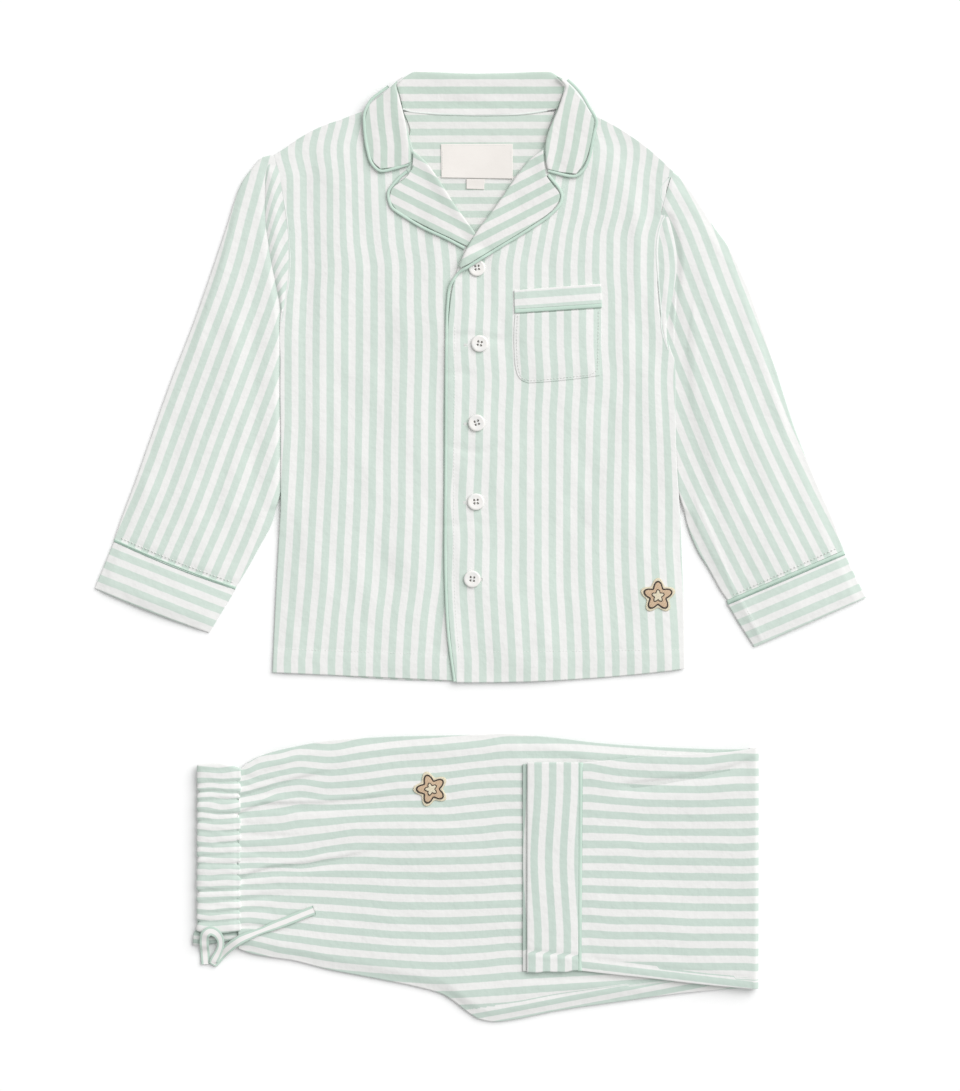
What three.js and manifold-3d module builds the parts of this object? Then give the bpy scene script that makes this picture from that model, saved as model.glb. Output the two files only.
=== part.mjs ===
// A child's two-piece pyjama set laid flat: a striped long-sleeved shirt with a notched collar above
// its trousers, which are folded in half lengthwise with the lower legs folded back over them.
// Millimetres. X runs across the set, Y from the trousers up to the collar, Z out of the surface that
// the set lies on. Everything rests on Z = 0, which is the real underside of each lowest layer.
import * as THREE from "three";
import Module from "manifold-3d";

// ---- cloth sizes ----------------------------------------------------------------------------------
const WALL = 1.0; // one layer of cloth with its seam allowances and air
const GAP = 0.3; // between two layers, and between two pieces at a seam
const LOFT = 1.4; // how far the fronts stand off the back in the middle of the shirt
const FLAT_TUBE = 2.6; // height of a flattened sleeve: two layers and the thin space between them
const ROLL = 0.9; // extra height along the folded edge of a lapel or collar
const CORE_THIGH = 2.6; // three hidden layers of the doubled legs
const CORE_SHIN = 2.2; // three hidden layers of the folded-back lower legs

// ---- colours ---------------------------------------------------------------------------------------
const SHIRTING = 0xdde6df;
const MINT = 0xc4dccf;
const CREAM = 0xf4efec;
const PEARL = 0xeeebe6;
const TAN = 0xc9b48c;

// ---- outlines --------------------------------------------------------------------------------------
// A row is one line across a piece, from its left end (lx, ly) to its right end (rx, ry); bow is how
// far the middle of that line is pushed to the left of the direction in which it runs.
// The bow is a parabola; SQUARE_BOW is the power of a fuller curve, for a neck with square shoulders.
const SQUARE_BOW = 4;

// Back, from the shoulders down to the hem
const SHIRT_BACK = [
  { lx: -155.7, ly: 296.8, rx: 145.6, ry: 284.2, bow: 38 },
  { lx: -147.7, ly: 259.5, rx: 138.8, ry: 257.3, bow: 22.8 },
  { lx: -145.2, ly: 236.7, rx: 134.4, ry: 236.7, bow: 11.4 },
  { lx: -145.6, ly: 216.2, rx: 133.6, ry: 216.2, bow: 3.8 },
  { lx: -148.9, ly: 187.3, rx: 133, ry: 187.3 },
  { lx: -151.3, ly: 170.6, rx: 136, ry: 170.6 },
  { lx: -151.9, ly: 153.1, rx: 142.6, ry: 151.6 },
  { lx: -152.3, ly: 122, rx: 148.7, ry: 122 },
  { lx: -151.8, ly: 80.2, rx: 148.9, ry: 80.2 },
  { lx: -151.8, ly: 33.8, rx: 151.4, ry: 33.8 },
  { lx: -153.5, ly: 2.7, rx: 152.8, ry: 2.7 },
  { lx: -155.9, ly: -44.1, rx: 154.7, ry: -44.1 },
  { lx: -158, ly: -93.1, rx: 155.5, ry: -90.8, bow: -10.6 },
];
// Front on the wearer's right, under the button stand
const FRONT_RIGHT = [
  { lx: -156.5, ly: 297.9, rx: -62.6, ry: 338.6, bow: 4.6 },
  { lx: -152.7, ly: 284.6, rx: -55.8, ry: 318.1, bow: 2.3 },
  { lx: -150, ly: 270.9, rx: -50.5, ry: 300.6 },
  { lx: -147.4, ly: 255.7, rx: -42.9, ry: 291.5 },
  { lx: -145.2, ly: 236.7, rx: -29.9, ry: 275.5 },
  { lx: -145.2, ly: 220.2, rx: -19.3, ry: 258.8 },
  { lx: -146.7, ly: 199.5, rx: -7.9, ry: 240.5 },
  { lx: -150.8, ly: 178.2, rx: 7.3, ry: 216.2 },
  { lx: -151.9, ly: 156.9, rx: 14.1, ry: 179.7 },
  { lx: -152.3, ly: 122, rx: 14.9, ry: 134.1 },
  { lx: -151.8, ly: 80.2, rx: 14.9, ry: 80.2 },
  { lx: -151.8, ly: 33.8, rx: 14.9, ry: 33.8 },
  { lx: -153.5, ly: 2.7, rx: 14.1, ry: -2.7 },
  { lx: -155.9, ly: -44.1, rx: 13.4, ry: -48.3 },
  { lx: -158.2, ly: -95.8, rx: 14.1, ry: -103.7 },
];
// Front on the wearer's left, with the buttonhole edge on top
const FRONT_LEFT = [
  { lx: 60.5, ly: 337.1, rx: 146.4, ry: 285, bow: 6.8 },
  { lx: 54.4, ly: 320.3, rx: 139.5, ry: 273.2, bow: 4.6 },
  { lx: 49.1, ly: 303.6, rx: 139.5, ry: 255.7, bow: 1.5 },
  { lx: 36.2, ly: 292.2, rx: 134.6, ry: 236.7 },
  { lx: 21.7, ly: 272.5, rx: 133.5, ry: 216.2 },
  { lx: 12.6, ly: 258.8, rx: 132.7, ry: 194.9 },
  { lx: 0.5, ly: 242.8, rx: 135.7, ry: 170.6 },
  { lx: -9.4, ly: 227.2, rx: 142.9, ry: 151.6 },
  { lx: -17.4, ly: 208.6, rx: 148.3, ry: 138.7 },
  { lx: -22, ly: 187.3, rx: 148.7, ry: 115.1 },
  { lx: -24.2, ly: 156.9, rx: 148.7, ry: 92.3 },
  { lx: -24.6, ly: 111.3, rx: 149.4, ry: 65.7 },
  { lx: -25, ly: 58.1, rx: 151.5, ry: 30.8 },
  { lx: -25.2, ly: 4.9, rx: 153.2, ry: -6.5 },
  { lx: -24.2, ly: -40.7, rx: 154.7, ry: -52.1 },
  { lx: -21.6, ly: -74.9, rx: 155.1, ry: -74.9 },
  { lx: -17.8, ly: -103.4, rx: 155.5, ry: -93.1, bow: -3 },
];
// Half-moon facing inside the back of the neck
const NECK_FACING = [
  { lx: -57.7, ly: 328.7, rx: 55.6, ry: 328.7, bow: -0.8 },
  { lx: -53.5, ly: 316.5, rx: 51.8, ry: 316.5 },
  { lx: -57.3, ly: 305.1, rx: 57.5, ry: 305.1 },
  { lx: -59.6, ly: 278.5, rx: 57.5, ry: 278.5 },
  { lx: -44.4, ly: 248.1, rx: 43.8, ry: 248.1 },
  { lx: -26.1, ly: 228.4, rx: 25.5, ry: 228.4 },
  { lx: -10.9, ly: 219.3, rx: 10.3, ry: 219.3, bow: -2.3 },
];
// Folded collar at the back of the neck; its rows run from the folded edge to the neck seam
const COLLAR_BACK = [
  { lx: -64.1, ly: 351.5, rx: -59.2, ry: 333.6 },
  { lx: -57.3, ly: 357.2, rx: -52, ry: 331.7 },
  { lx: -48.6, ly: 361.4, rx: -44, ry: 330.5 },
  { lx: -30.7, ly: 360.6, rx: -26.9, ry: 329.5 },
  { lx: -7.1, ly: 359.7, rx: -7.1, ry: 328.7 },
  { lx: 24, ly: 360.2, rx: 24, ry: 329.3 },
  { lx: 50.6, ly: 361.4, rx: 41.5, ry: 330.8 },
  { lx: 59, ly: 357.6, rx: 51.4, ry: 332.1 },
  { lx: 64.3, ly: 350, rx: 59, ry: 333.6 },
];
const WING_LEFT = [
  { lx: -62.2, ly: 353.8, rx: -58.1, ry: 356.4 },
  { lx: -67.6, ly: 348.2, rx: -63.5, ry: 349.6 },
  { lx: -75.7, ly: 341.6, rx: -61.5, ry: 340.9 },
  { lx: -84.3, ly: 333.6, rx: -59.2, ry: 331.7 },
  { lx: -86.6, ly: 322.6, rx: -56.9, ry: 322.6 },
  { lx: -85.8, ly: 310.5, rx: -55, ry: 311.2 },
  { lx: -83.9, ly: 299.8, rx: -53.5, ry: 302.1 },
  { lx: -80.9, ly: 293, rx: -52.9, ry: 296 },
  { lx: -75.9, ly: 288, rx: -53.1, ry: 292.6, bow: -1.1 },
];
const WING_RIGHT = [
  { lx: 57.5, ly: 356.4, rx: 61.6, ry: 354.9 },
  { lx: 63.9, ly: 348.1, rx: 68.5, ry: 348.5 },
  { lx: 61.6, ly: 340.1, rx: 73.7, ry: 342.4 },
  { lx: 58.2, ly: 330.2, rx: 80.4, ry: 332.5 },
  { lx: 54, ly: 321.1, rx: 85.4, ry: 322.6 },
  { lx: 50.6, ly: 312, rx: 83.9, ry: 311.6 },
  { lx: 49.1, ly: 302.1, rx: 81.3, ry: 300.2 },
  { lx: 49.5, ly: 293.7, rx: 78, ry: 291.5 },
  { lx: 50.6, ly: 287.7, rx: 72.5, ry: 284.3, bow: -0.8 },
];
// Lapels turned back from the fronts
const LAPEL_LEFT = [
  { lx: -51.2, ly: 295.3, rx: -51.1, ry: 300.6 },
  { lx: -51.8, ly: 288, rx: -48.2, ry: 298.5 },
  { lx: -59, ly: 278.3, rx: -44.8, ry: 295.6 },
  { lx: -67, ly: 270.5, rx: -40.6, ry: 291.2 },
  { lx: -68.2, ly: 264.9, rx: -36, ry: 285.2 },
  { lx: -62.6, ly: 255.7, rx: -30.7, ry: 277.4 },
  { lx: -48.8, ly: 248, rx: -23.1, ry: 265.2 },
  { lx: -33.8, ly: 240.2, rx: -16.3, ry: 255.4 },
  { lx: -21.7, ly: 234.6, rx: -10.2, ry: 247 },
  { lx: -10, ly: 228.1, rx: -3.6, ry: 237.8 },
];
const LAPEL_RIGHT = [
  { lx: 47.7, ly: 301.3, rx: 48, ry: 296 },
  { lx: 40.7, ly: 296.4, rx: 48.3, ry: 289.2 },
  { lx: 33.1, ly: 288.8, rx: 48.7, ry: 283.2 },
  { lx: 29.3, ly: 283.9, rx: 54.4, ry: 274.4 },
  { lx: 25.9, ly: 278.9, rx: 59.9, ry: 266.4 },
  { lx: 21.4, ly: 272.5, rx: 55.5, ry: 257.6 },
  { lx: 17.2, ly: 266.4, rx: 41, ry: 246.2 },
  { lx: 7.3, ly: 252.3, rx: 22.7, ry: 234.5 },
  { lx: -3.3, ly: 238.3, rx: 6.8, ry: 224.9 },
  { lx: -11.7, ly: 223.8, rx: -6.9, ry: 216.3 },
  { lx: -16.4, ly: 212.9, rx: -14.7, ry: 211.4 },
];
// Breast pocket, its turned band and the piping between them
const POCKET = [
  { lx: 26.3, ly: 176.3, rx: 92, ry: 180.5 },
  { lx: 25.4, ly: 159.2, rx: 91.9, ry: 163.8 },
  { lx: 26, ly: 141.4, rx: 91.6, ry: 146.3 },
  { lx: 27.7, ly: 131.5, rx: 91.3, ry: 137.2 },
  { lx: 31.2, ly: 126.5, rx: 90.9, ry: 132.6 },
  { lx: 36.5, ly: 124.3, rx: 90.6, ry: 130, bow: -0.8 },
];
const POCKET_BAND = [
  { lx: 25.5, ly: 194.6, rx: 91.4, ry: 199.7 },
  { lx: 25.7, ly: 188.1, rx: 91.9, ry: 192.7 },
  { lx: 25.9, ly: 180.9, rx: 92.3, ry: 185.3 },
];
const POCKET_PIPING = [
  { lx: 26, ly: 180.3, rx: 92.3, ry: 184.7 },
  { lx: 26.1, ly: 177.2, rx: 92.4, ry: 181.6 },
];
// Bare label and tab inside the neck
const NECK_LABEL = [
  { lx: -30.1, ly: 306, rx: 24.6, ry: 306.2 },
  { lx: -29.7, ly: 280.5, rx: 24.6, ry: 279.6 },
];
const SIZE_TAB = [
  { lx: -10.6, ly: 279.5, rx: 3.2, ry: 279.3 },
  { lx: -10.7, ly: 272, rx: 2.9, ry: 271.5 },
];
// Sleeves, from the armhole to the cuff seam
const SLEEVE_LEFT = [
  { lx: -157.4, ly: 298.3, rx: -151.8, ry: 173.7, bow: 8.4 },
  { lx: -166, ly: 296, rx: -152.9, ry: 163.8, bow: 6.1 },
  { lx: -174, ly: 287.3, rx: -153.4, ry: 151.6, bow: 3.8 },
  { lx: -180.9, ly: 277.8, rx: -153.5, ry: 137.9, bow: 2.3 },
  { lx: -185.3, ly: 267.9, rx: -153.6, ry: 122.7 },
  { lx: -193, ly: 243.6, rx: -153.4, ry: 102.2 },
  { lx: -204.7, ly: 208.6, rx: -153.2, ry: 80.9 },
  { lx: -218, ly: 170.6, rx: -153.2, ry: 59.7 },
  { lx: -234.9, ly: 127.3, rx: -153.8, ry: 41.4 },
  { lx: -249.6, ly: 86.3, rx: -157.6, ry: 20.9 },
  { lx: -263.6, ly: 46.7, rx: -167.9, ry: 0.4 },
  { lx: -273.9, ly: 19.4, rx: -179.3, ry: -20.1 },
  { lx: -277.9, ly: 7.6, rx: -184.8, ry: -28.9, bow: -1.5 },
];
const SLEEVE_RIGHT = [
  { lx: 136.1, ly: 169.9, rx: 147.7, ry: 284, bow: 6.8 },
  { lx: 144.5, ly: 152.4, rx: 151.8, ry: 280.8, bow: 3.8 },
  { lx: 149.6, ly: 138.7, rx: 155.3, ry: 276.6, bow: 3 },
  { lx: 150.2, ly: 123.5, rx: 160.4, ry: 270.2, bow: 1.5 },
  { lx: 150.2, ly: 108.3, rx: 167.7, ry: 259.2 },
  { lx: 150.6, ly: 93.1, rx: 177.5, ry: 243.6 },
  { lx: 151.3, ly: 76.4, rx: 189.3, ry: 226.9 },
  { lx: 152.5, ly: 58.1, rx: 202.5, ry: 199.5 },
  { lx: 153.6, ly: 39.9, rx: 214, ry: 167.6 },
  { lx: 156.6, ly: 20.1, rx: 225.4, ry: 132.6 },
  { lx: 164.6, ly: -1.9, rx: 239.1, ry: 90.1 },
  { lx: 174.5, ly: -18.2, rx: 254.3, ry: 52.1 },
  { lx: 183.2, ly: -33.8, rx: 268.7, ry: 19.4 },
  { lx: 186.9, ly: -39, rx: 275.8, ry: -1.1 },
];
const CUFF_LEFT = [
  { lx: -278.9, ly: 3.6, rx: -186.6, ry: -32.9, bow: -1.5 },
  { lx: -286.4, ly: -14.8, rx: -196.5, ry: -49.4, bow: -1.5 },
  { lx: -293.4, ly: -31.5, rx: -206.1, ry: -65.4, bow: -1.5 },
];
const CUFF_RIGHT = [
  { lx: 188.5, ly: -44.6, rx: 277.7, ry: -6.6 },
  { lx: 198.1, ly: -60.4, rx: 285.6, ry: -23.2 },
  { lx: 208.5, ly: -76.5, rx: 293.4, ry: -38.8 },
];
const CUFF_PIPING_LEFT = [
  { lx: -278, ly: 6.8, rx: -185.1, ry: -29.7, bow: -1.5 },
  { lx: -278.8, ly: 4.4, rx: -186.4, ry: -32.1, bow: -1.5 },
];
const CUFF_PIPING_RIGHT = [
  { lx: 187.3, ly: -39.9, rx: 276.2, ry: -2.1 },
  { lx: 188.2, ly: -43.7, rx: 277.4, ry: -5.8 },
];
// Trousers: rows cross the leg, from its upper edge to its lower edge, and follow each other from the
// waistband to the fold
const THIGH = [
  { lx: -181.9, ly: -168.7, rx: -181.9, ry: -306.5 },
  { lx: -175.9, ly: -163.8, rx: -175.9, ry: -308.8 },
  { lx: -168.3, ly: -159.7, rx: -168.3, ry: -310.7 },
  { lx: -156.1, ly: -155.8, rx: -156.1, ry: -312.7 },
  { lx: -144.2, ly: -152.9, rx: -144.2, ry: -314.4 },
  { lx: -114.1, ly: -147.7, rx: -114.1, ry: -321.9 },
  { lx: -78.1, ly: -145.1, rx: -78.1, ry: -328.7 },
  { lx: -53.5, ly: -144.2, rx: -48.2, ry: -334.8 },
  { lx: -33, ly: -143.9, rx: -29.9, ry: -339.9 },
  { lx: -21.6, ly: -143.6, rx: -20.8, ry: -345.2 },
  { lx: -10.9, ly: -143.3, rx: -10.2, ry: -353.5 },
  { lx: -0.3, ly: -143.1, rx: -0.3, ry: -359.5 },
  { lx: 16.9, ly: -142.3, rx: 11.1, ry: -361.4 },
  { lx: 37.7, ly: -143.7, rx: 24.8, ry: -359.9 },
  { lx: 56.7, ly: -145.5, rx: 56.7, ry: -353.4 },
  { lx: 88.6, ly: -149.3, rx: 104.9, ry: -346.2 },
  { lx: 120.8, ly: -151.8, rx: 152.8, ry: -339.8 },
  { lx: 160.8, ly: -153.6, rx: 178.3, ry: -337.4 },
  { lx: 189.6, ly: -154.3, rx: 195.8, ry: -336.1 },
  { lx: 204.9, ly: -154.1, rx: 204.9, ry: -335.7 },
];
// Folded-back lower legs, from the cuff seam to the fold
const SHIN = [
  { lx: 78.7, ly: -163.9, rx: 77.6, ry: -322.2 },
  { lx: 104.6, ly: -161.5, rx: 99.3, ry: -324.7 },
  { lx: 136.5, ly: -158.4, rx: 128.9, ry: -327.8 },
  { lx: 166.9, ly: -157.1, rx: 168.8, ry: -332.5 },
  { lx: 189.7, ly: -155.9, rx: 193.5, ry: -334.8 },
  { lx: 211.7, ly: -153.3, rx: 211.4, ry: -336 },
];
const CUFF_UPPER = [
  { lx: 35.6, ly: -163.9, rx: 35.3, ry: -323.2 },
  { lx: 54.4, ly: -163.8, rx: 54, ry: -322.8 },
  { lx: 73.9, ly: -163.9, rx: 73.4, ry: -322.3 },
];
const CUFF_UNDER = [
  { lx: 32.2, ly: -165.3, rx: 32.2, ry: -322.6 },
  { lx: 54.4, ly: -165.3, rx: 54.4, ry: -322 },
  { lx: 77.2, ly: -165.3, rx: 76.5, ry: -321.1 },
];
const LEG_PIPING = [
  { lx: 74.5, ly: -163.9, rx: 74, ry: -322.3 },
  { lx: 77.9, ly: -163.9, rx: 77.1, ry: -322.2 },
];
const WAISTBAND = [
  { lx: -216.9, ly: -165.7, rx: -217.1, ry: -291.9 },
  { lx: -210.1, ly: -165, rx: -210.1, ry: -293.3 },
  { lx: -198.3, ly: -164.2, rx: -198.3, ry: -294 },
  { lx: -188.8, ly: -166.4, rx: -188.8, ry: -293 },
  { lx: -182.7, ly: -168.6, rx: -182.7, ry: -292.2 },
];
const WAISTBAND_UNDER = [
  { lx: -216.3, ly: -168.3, rx: -218.8, ry: -303.6 },
  { lx: -210.1, ly: -167.6, rx: -210.1, ry: -303.2 },
  { lx: -198.3, ly: -167.6, rx: -198.3, ry: -301.3 },
  { lx: -182.7, ly: -169.9, rx: -182.7, ry: -299.1 },
];

// ---- centre lines of the piping and of the drawstring ------------------------------------------------
const WING_LEFT_EDGE = [
  { x: -69.8, y: 349.5 },
  { x: -77.1, y: 344.2 },
  { x: -83.5, y: 338.6 },
  { x: -88, y: 329.1 },
  { x: -88.2, y: 319.6 },
  { x: -87.2, y: 308.9 },
  { x: -85.1, y: 298.3 },
  { x: -82.9, y: 291.8 },
  { x: -78.6, y: 286.7 },
  { x: -74.4, y: 285.2 },
  { x: -64.1, y: 287.5 },
  { x: -53.9, y: 290.5 },
];
const WING_RIGHT_EDGE = [
  { x: 66.2, y: 354.5 },
  { x: 71.6, y: 349.6 },
  { x: 77.6, y: 342.4 },
  { x: 82.9, y: 333.3 },
  { x: 88.2, y: 323.4 },
  { x: 86.9, y: 315.8 },
  { x: 85.3, y: 308.2 },
  { x: 83.1, y: 296.8 },
  { x: 79.5, y: 288 },
  { x: 73.8, y: 282 },
  { x: 68.9, y: 281.3 },
  { x: 59, y: 283.4 },
  { x: 51.4, y: 285.6 },
];
const LAPEL_LEFT_EDGE = [
  { x: -55.3, y: 285.5 },
  { x: -61.7, y: 280.1 },
  { x: -69.2, y: 271.2 },
  { x: -70.1, y: 266.4 },
  { x: -68.2, y: 259.4 },
  { x: -65.4, y: 255.9 },
  { x: -55.2, y: 249.2 },
  { x: -42.3, y: 241.6 },
  { x: -25.8, y: 234 },
  { x: -11.9, y: 226.6 },
];
// Outer edge of the other lapel, then down the buttonhole edge to the hem
const PLACKET_EDGE = [
  { x: 51.5, y: 282.3 },
  { x: 54.7, y: 278.4 },
  { x: 59.9, y: 271.9 },
  { x: 62, y: 266 },
  { x: 59.7, y: 258.9 },
  { x: 51.1, y: 250.4 },
  { x: 34.5, y: 239.3 },
  { x: 17.8, y: 229.2 },
  { x: -0.2, y: 218 },
  { x: -9.4, y: 212.1 },
  { x: -15.9, y: 208.2 },
  { x: -20.2, y: 202.9 },
  { x: -23.4, y: 196.5 },
  { x: -24.6, y: 187.3 },
  { x: -25.5, y: 172.1 },
  { x: -25.9, y: 141.7 },
  { x: -26, y: 111.3 },
  { x: -26.3, y: 58.1 },
  { x: -26.6, y: 4.9 },
  { x: -26.1, y: -33.1 },
  { x: -24.2, y: -67.3 },
  { x: -19.6, y: -102.6 },
];
// From one free end, over the lower edge of the waistband, round a hairpin and on to the other free end
const DRAWSTRING = [
  { x: -208.8, y: -317.7, z: 0.9 },
  { x: -209.6, y: -308.2, z: 1 },
  { x: -209.8, y: -303.2, z: 4.2 },
  { x: -209.8, y: -299.1, z: 5.4 },
  { x: -208.8, y: -294.5, z: 7.8 },
  { x: -205.3, y: -291.6, z: 8.2 },
  { x: -200.5, y: -293.4, z: 7.6 },
  { x: -197.6, y: -298.1, z: 5.6 },
  { x: -197.4, y: -303.6, z: 4.2 },
  { x: -199.7, y: -309.7, z: 3 },
  { x: -202.6, y: -315, z: 2.4 },
  { x: -203.1, y: -316.7, z: 1.6 },
  { x: -201.4, y: -315.5, z: 0.9 },
  { x: -197.1, y: -310.5, z: 1.2 },
  { x: -191.1, y: -304.8, z: 3.8 },
  { x: -185.7, y: -300.6, z: 5.8 },
  { x: -180.4, y: -297.5, z: 6.3 },
  { x: -170.5, y: -293.4, z: 6 },
  { x: -161.4, y: -289.9, z: 5.6 },
  { x: -144.7, y: -283.5, z: 5.3 },
  { x: -134.8, y: -279.5, z: 5.2 },
  { x: -126, y: -276, z: 5.1 },
];
const BUTTONS = [
  { x: -2.6, y: 211.7 },
  { x: -0.6, y: 154.1 },
  { x: -2.8, y: 93.9 },
  { x: -3.4, y: 34 },
  { x: -6.2, y: -24.7 },
];
const STARS = {
  shirt: { x: 135, y: -37.6 },
  trousers: { x: -37.5, y: -184.3 },
};

// ---- small helpers -----------------------------------------------------------------------------------
const clamp = (x, lo = 0, hi = 1) => Math.min(hi, Math.max(lo, x));
const mix = (a, b, t) => a + (b - a) * t;
const ease = (from, to, x) => {
  const t = clamp((x - from) / (to - from));
  return t * t * (3 - 2 * t);
};

// Height at y of an edge kept as rows, by straight lines between them
function edgeAt(rows, xKey, yKey, y) {
  let i = 0;
  while (i < rows.length - 2 && rows[i + 1][yKey] > y) i++;
  const a = rows[i];
  const b = rows[i + 1];
  return mix(a[xKey], b[xKey], clamp((a[yKey] - y) / (a[yKey] - b[yKey])));
}

// Distance of (x, y) below the shoulder line that a front's first row gives
function belowShoulder(row, x, y) {
  const dx = row.rx - row.lx;
  const dy = row.ry - row.ly;
  return ((x - row.lx) * dy - (y - row.ly) * dx) / Math.hypot(dx, dy);
}

// Point at share t along a row
function onRow(row, t) {
  const dx = row.rx - row.lx;
  const dy = row.ry - row.ly;
  const shape = 1 - Math.abs(2 * t - 1) ** (row.power || 2);
  const bow = ((row.bow || 0) * shape) / Math.hypot(dx, dy);
  return [row.lx + dx * t - dy * bow, row.ly + dy * t + dx * bow];
}

const rowLength = (row) => Math.hypot(row.rx - row.lx, row.ry - row.ly);

// ---- heights of the shirt's layers --------------------------------------------------------------------
// Underside of a front where it lies straight on the back: higher in the middle of the body
function frontUnder(x, y) {
  const side = Math.min(
    x - edgeAt(FRONT_RIGHT, "lx", "ly", y),
    edgeAt(FRONT_LEFT, "rx", "ry", y) - x,
  );
  const hem = y - FRONT_LEFT[FRONT_LEFT.length - 1].ly;
  const shoulder = Math.min(
    belowShoulder(FRONT_RIGHT[0], x, y),
    belowShoulder(FRONT_LEFT[0], x, y),
  );
  return (
    WALL + GAP + LOFT * ease(0, 34, side) * ease(0, 34, hem) * ease(0, 30, shoulder)
  );
}
// The buttonhole front climbs onto the button front near the middle, below the point of the neckline
const underlap = FRONT_RIGHT[8].rx;
const NECK_POINT = { below: 238, above: 266 };
const leftUnder = (x, y) =>
  frontUnder(x, y) +
  (WALL + GAP) *
    (1 - ease(underlap + 14, underlap + 70, x)) *
    (1 - ease(NECK_POINT.below, NECK_POINT.above, y));
const leftTop = (x, y) => leftUnder(x, y) + WALL;

// The lapel rides over the first button
const BUTTON = { radius: 6.4, thick: 2.0, hole: 0.75, holeRing: 1.75, rim: 0.9 };
const overButton = (x, y) =>
  2.5 *
  (1 -
    ease(BUTTON.radius + 1.4, BUTTON.radius + 11, Math.hypot(x - BUTTONS[0].x, y - BUTTONS[0].y)));
const lapelRightUnder = (x, y) => leftTop(x, y) + GAP + overButton(x, y);
const lapelLeftUnder = (x, y) => frontUnder(x, y) + WALL + GAP;
const WING_UNDER = WALL + GAP + LOFT + WALL + GAP;

// ---- shells --------------------------------------------------------------------------------------------
// A closed body between two grids of points, outer[i][j] and inner[i][j]. With wrap, j runs round a
// tube and the two ends stay open between the walls.
function shell(outer, inner, wrap = false) {
  const rows = outer.length;
  const cols = outer[0].length;
  const at = (side, i, j) => side * rows * cols + i * cols + (j % cols);
  const index = [];
  const quad = (a, b, c, d) => index.push(a, b, c, a, c, d);
  const last = wrap ? cols : cols - 1;
  for (let j = 0; j < last; j++) {
    for (let i = 0; i < rows - 1; i++) {
      quad(at(0, i, j), at(0, i, j + 1), at(0, i + 1, j + 1), at(0, i + 1, j));
      quad(at(1, i, j), at(1, i + 1, j), at(1, i + 1, j + 1), at(1, i, j + 1));
    }
    quad(at(0, 0, j), at(1, 0, j), at(1, 0, j + 1), at(0, 0, j + 1));
    const e = rows - 1;
    quad(at(0, e, j), at(0, e, j + 1), at(1, e, j + 1), at(1, e, j));
  }
  if (!wrap)
    for (let i = 0; i < rows - 1; i++) {
      quad(at(0, i, 0), at(0, i + 1, 0), at(1, i + 1, 0), at(1, i, 0));
      const e = cols - 1;
      quad(at(0, i, e), at(1, i, e), at(1, i + 1, e), at(0, i + 1, e));
    }
  const points = [...outer.flat(), ...inner.flat()].flat();
  // Facing outwards means a positive volume
  let volume = 0;
  for (let k = 0; k < index.length; k += 3) {
    const [a, b, c] = [0, 1, 2].map((n) =>
      new THREE.Vector3().fromArray(points, index[k + n] * 3),
    );
    volume += a.dot(b.cross(c));
  }
  if (volume < 0)
    for (let k = 0; k < index.length; k += 3)
      [index[k + 1], index[k + 2]] = [index[k + 2], index[k + 1]];
  const g = new THREE.BufferGeometry();
  g.setAttribute("position", new THREE.Float32BufferAttribute(points, 3));
  g.setIndex(index);
  g.computeVertexNormals();
  return g;
}

// A flat panel: its underside follows under(x, y, t, i), and it is thick(t, i) high
function panel(rows, across, under, thick = () => WALL) {
  const grid = (top) =>
    rows.map((row, i) =>
      Array.from({ length: across + 1 }, (_, j) => {
        const t = j / across;
        const [x, y] = onRow(row, t);
        return [x, y, under(x, y, t, i) + (top ? thick(t, i) : 0)];
      }),
    );
  return shell(grid(true), grid(false));
}

// A tube of cloth pressed flat, with a flat underside on Z = base and rounded edges.
// height(x, y, t) is its whole height in the middle part.
function flatTube(rows, across, height, base = 0) {
  const ring = (row, inset) => {
    const width = rowLength(row);
    const edge = (inset ? WALL + 0.6 : 1.3) / width;
    const tip = inset / width;
    const points = [];
    const put = (t, lift) => {
      const [x, y] = onRow(row, t);
      points.push([x, y, base + lift(x, y, t)]);
    };
    put(tip, (x, y, t) => height(x, y, t) / 2);
    for (let j = 0; j <= across; j++)
      put(mix(edge, 1 - edge, j / across), (x, y, t) => height(x, y, t) - inset);
    put(1 - tip, (x, y, t) => height(x, y, t) / 2);
    for (let j = across; j >= 0; j--) put(mix(edge, 1 - edge, j / across), () => inset);
    return points;
  };
  return shell(
    rows.map((row) => ring(row, 0)),
    rows.map((row) => ring(row, WALL)),
    true,
  );
}

// Folded layers pressed together: one body with a groove between the layers along both edges
function foldedLayers(rows, { base, height, layers, inset, top = () => 0 }) {
  const side = [];
  for (let n = 0; n < layers; n++) {
    side.push([0.1, (n + (n ? 0.3 : 0.5)) / layers]);
    if (n < layers - 1) side.push([0.9, (n + 1) / layers]);
  }
  side.push([0.7, 1]);
  const middle = 5;
  const outer = rows.map((row) => {
    const width = rowLength(row);
    const points = side.map(([into, h]) => {
      const [x, y] = onRow(row, (inset + into) / width);
      return [x, y, base + h * height];
    });
    for (let j = 1; j < middle; j++) {
      const [x, y] = onRow(row, j / middle);
      points.push([x, y, base + height + top(x, y)]);
    }
    for (const [into, h] of [...side].reverse()) {
      const [x, y] = onRow(row, 1 - (inset + into) / width);
      points.push([x, y, base + h * height]);
    }
    return points;
  });
  const count = outer[0].length - 1;
  const inner = rows.map((row) => {
    const width = rowLength(row);
    const start = (inset + 1.6) / width;
    return outer[0].map((_, j) => [...onRow(row, mix(start, 1 - start, j / count)), base]);
  });
  return shell(outer, inner);
}

// Keeps the rows of a table whose middle lies between two X values
const between = (rows, from, to) =>
  rows.filter((r) => (r.lx + r.rx) / 2 >= from && (r.lx + r.rx) / 2 <= to);

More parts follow.
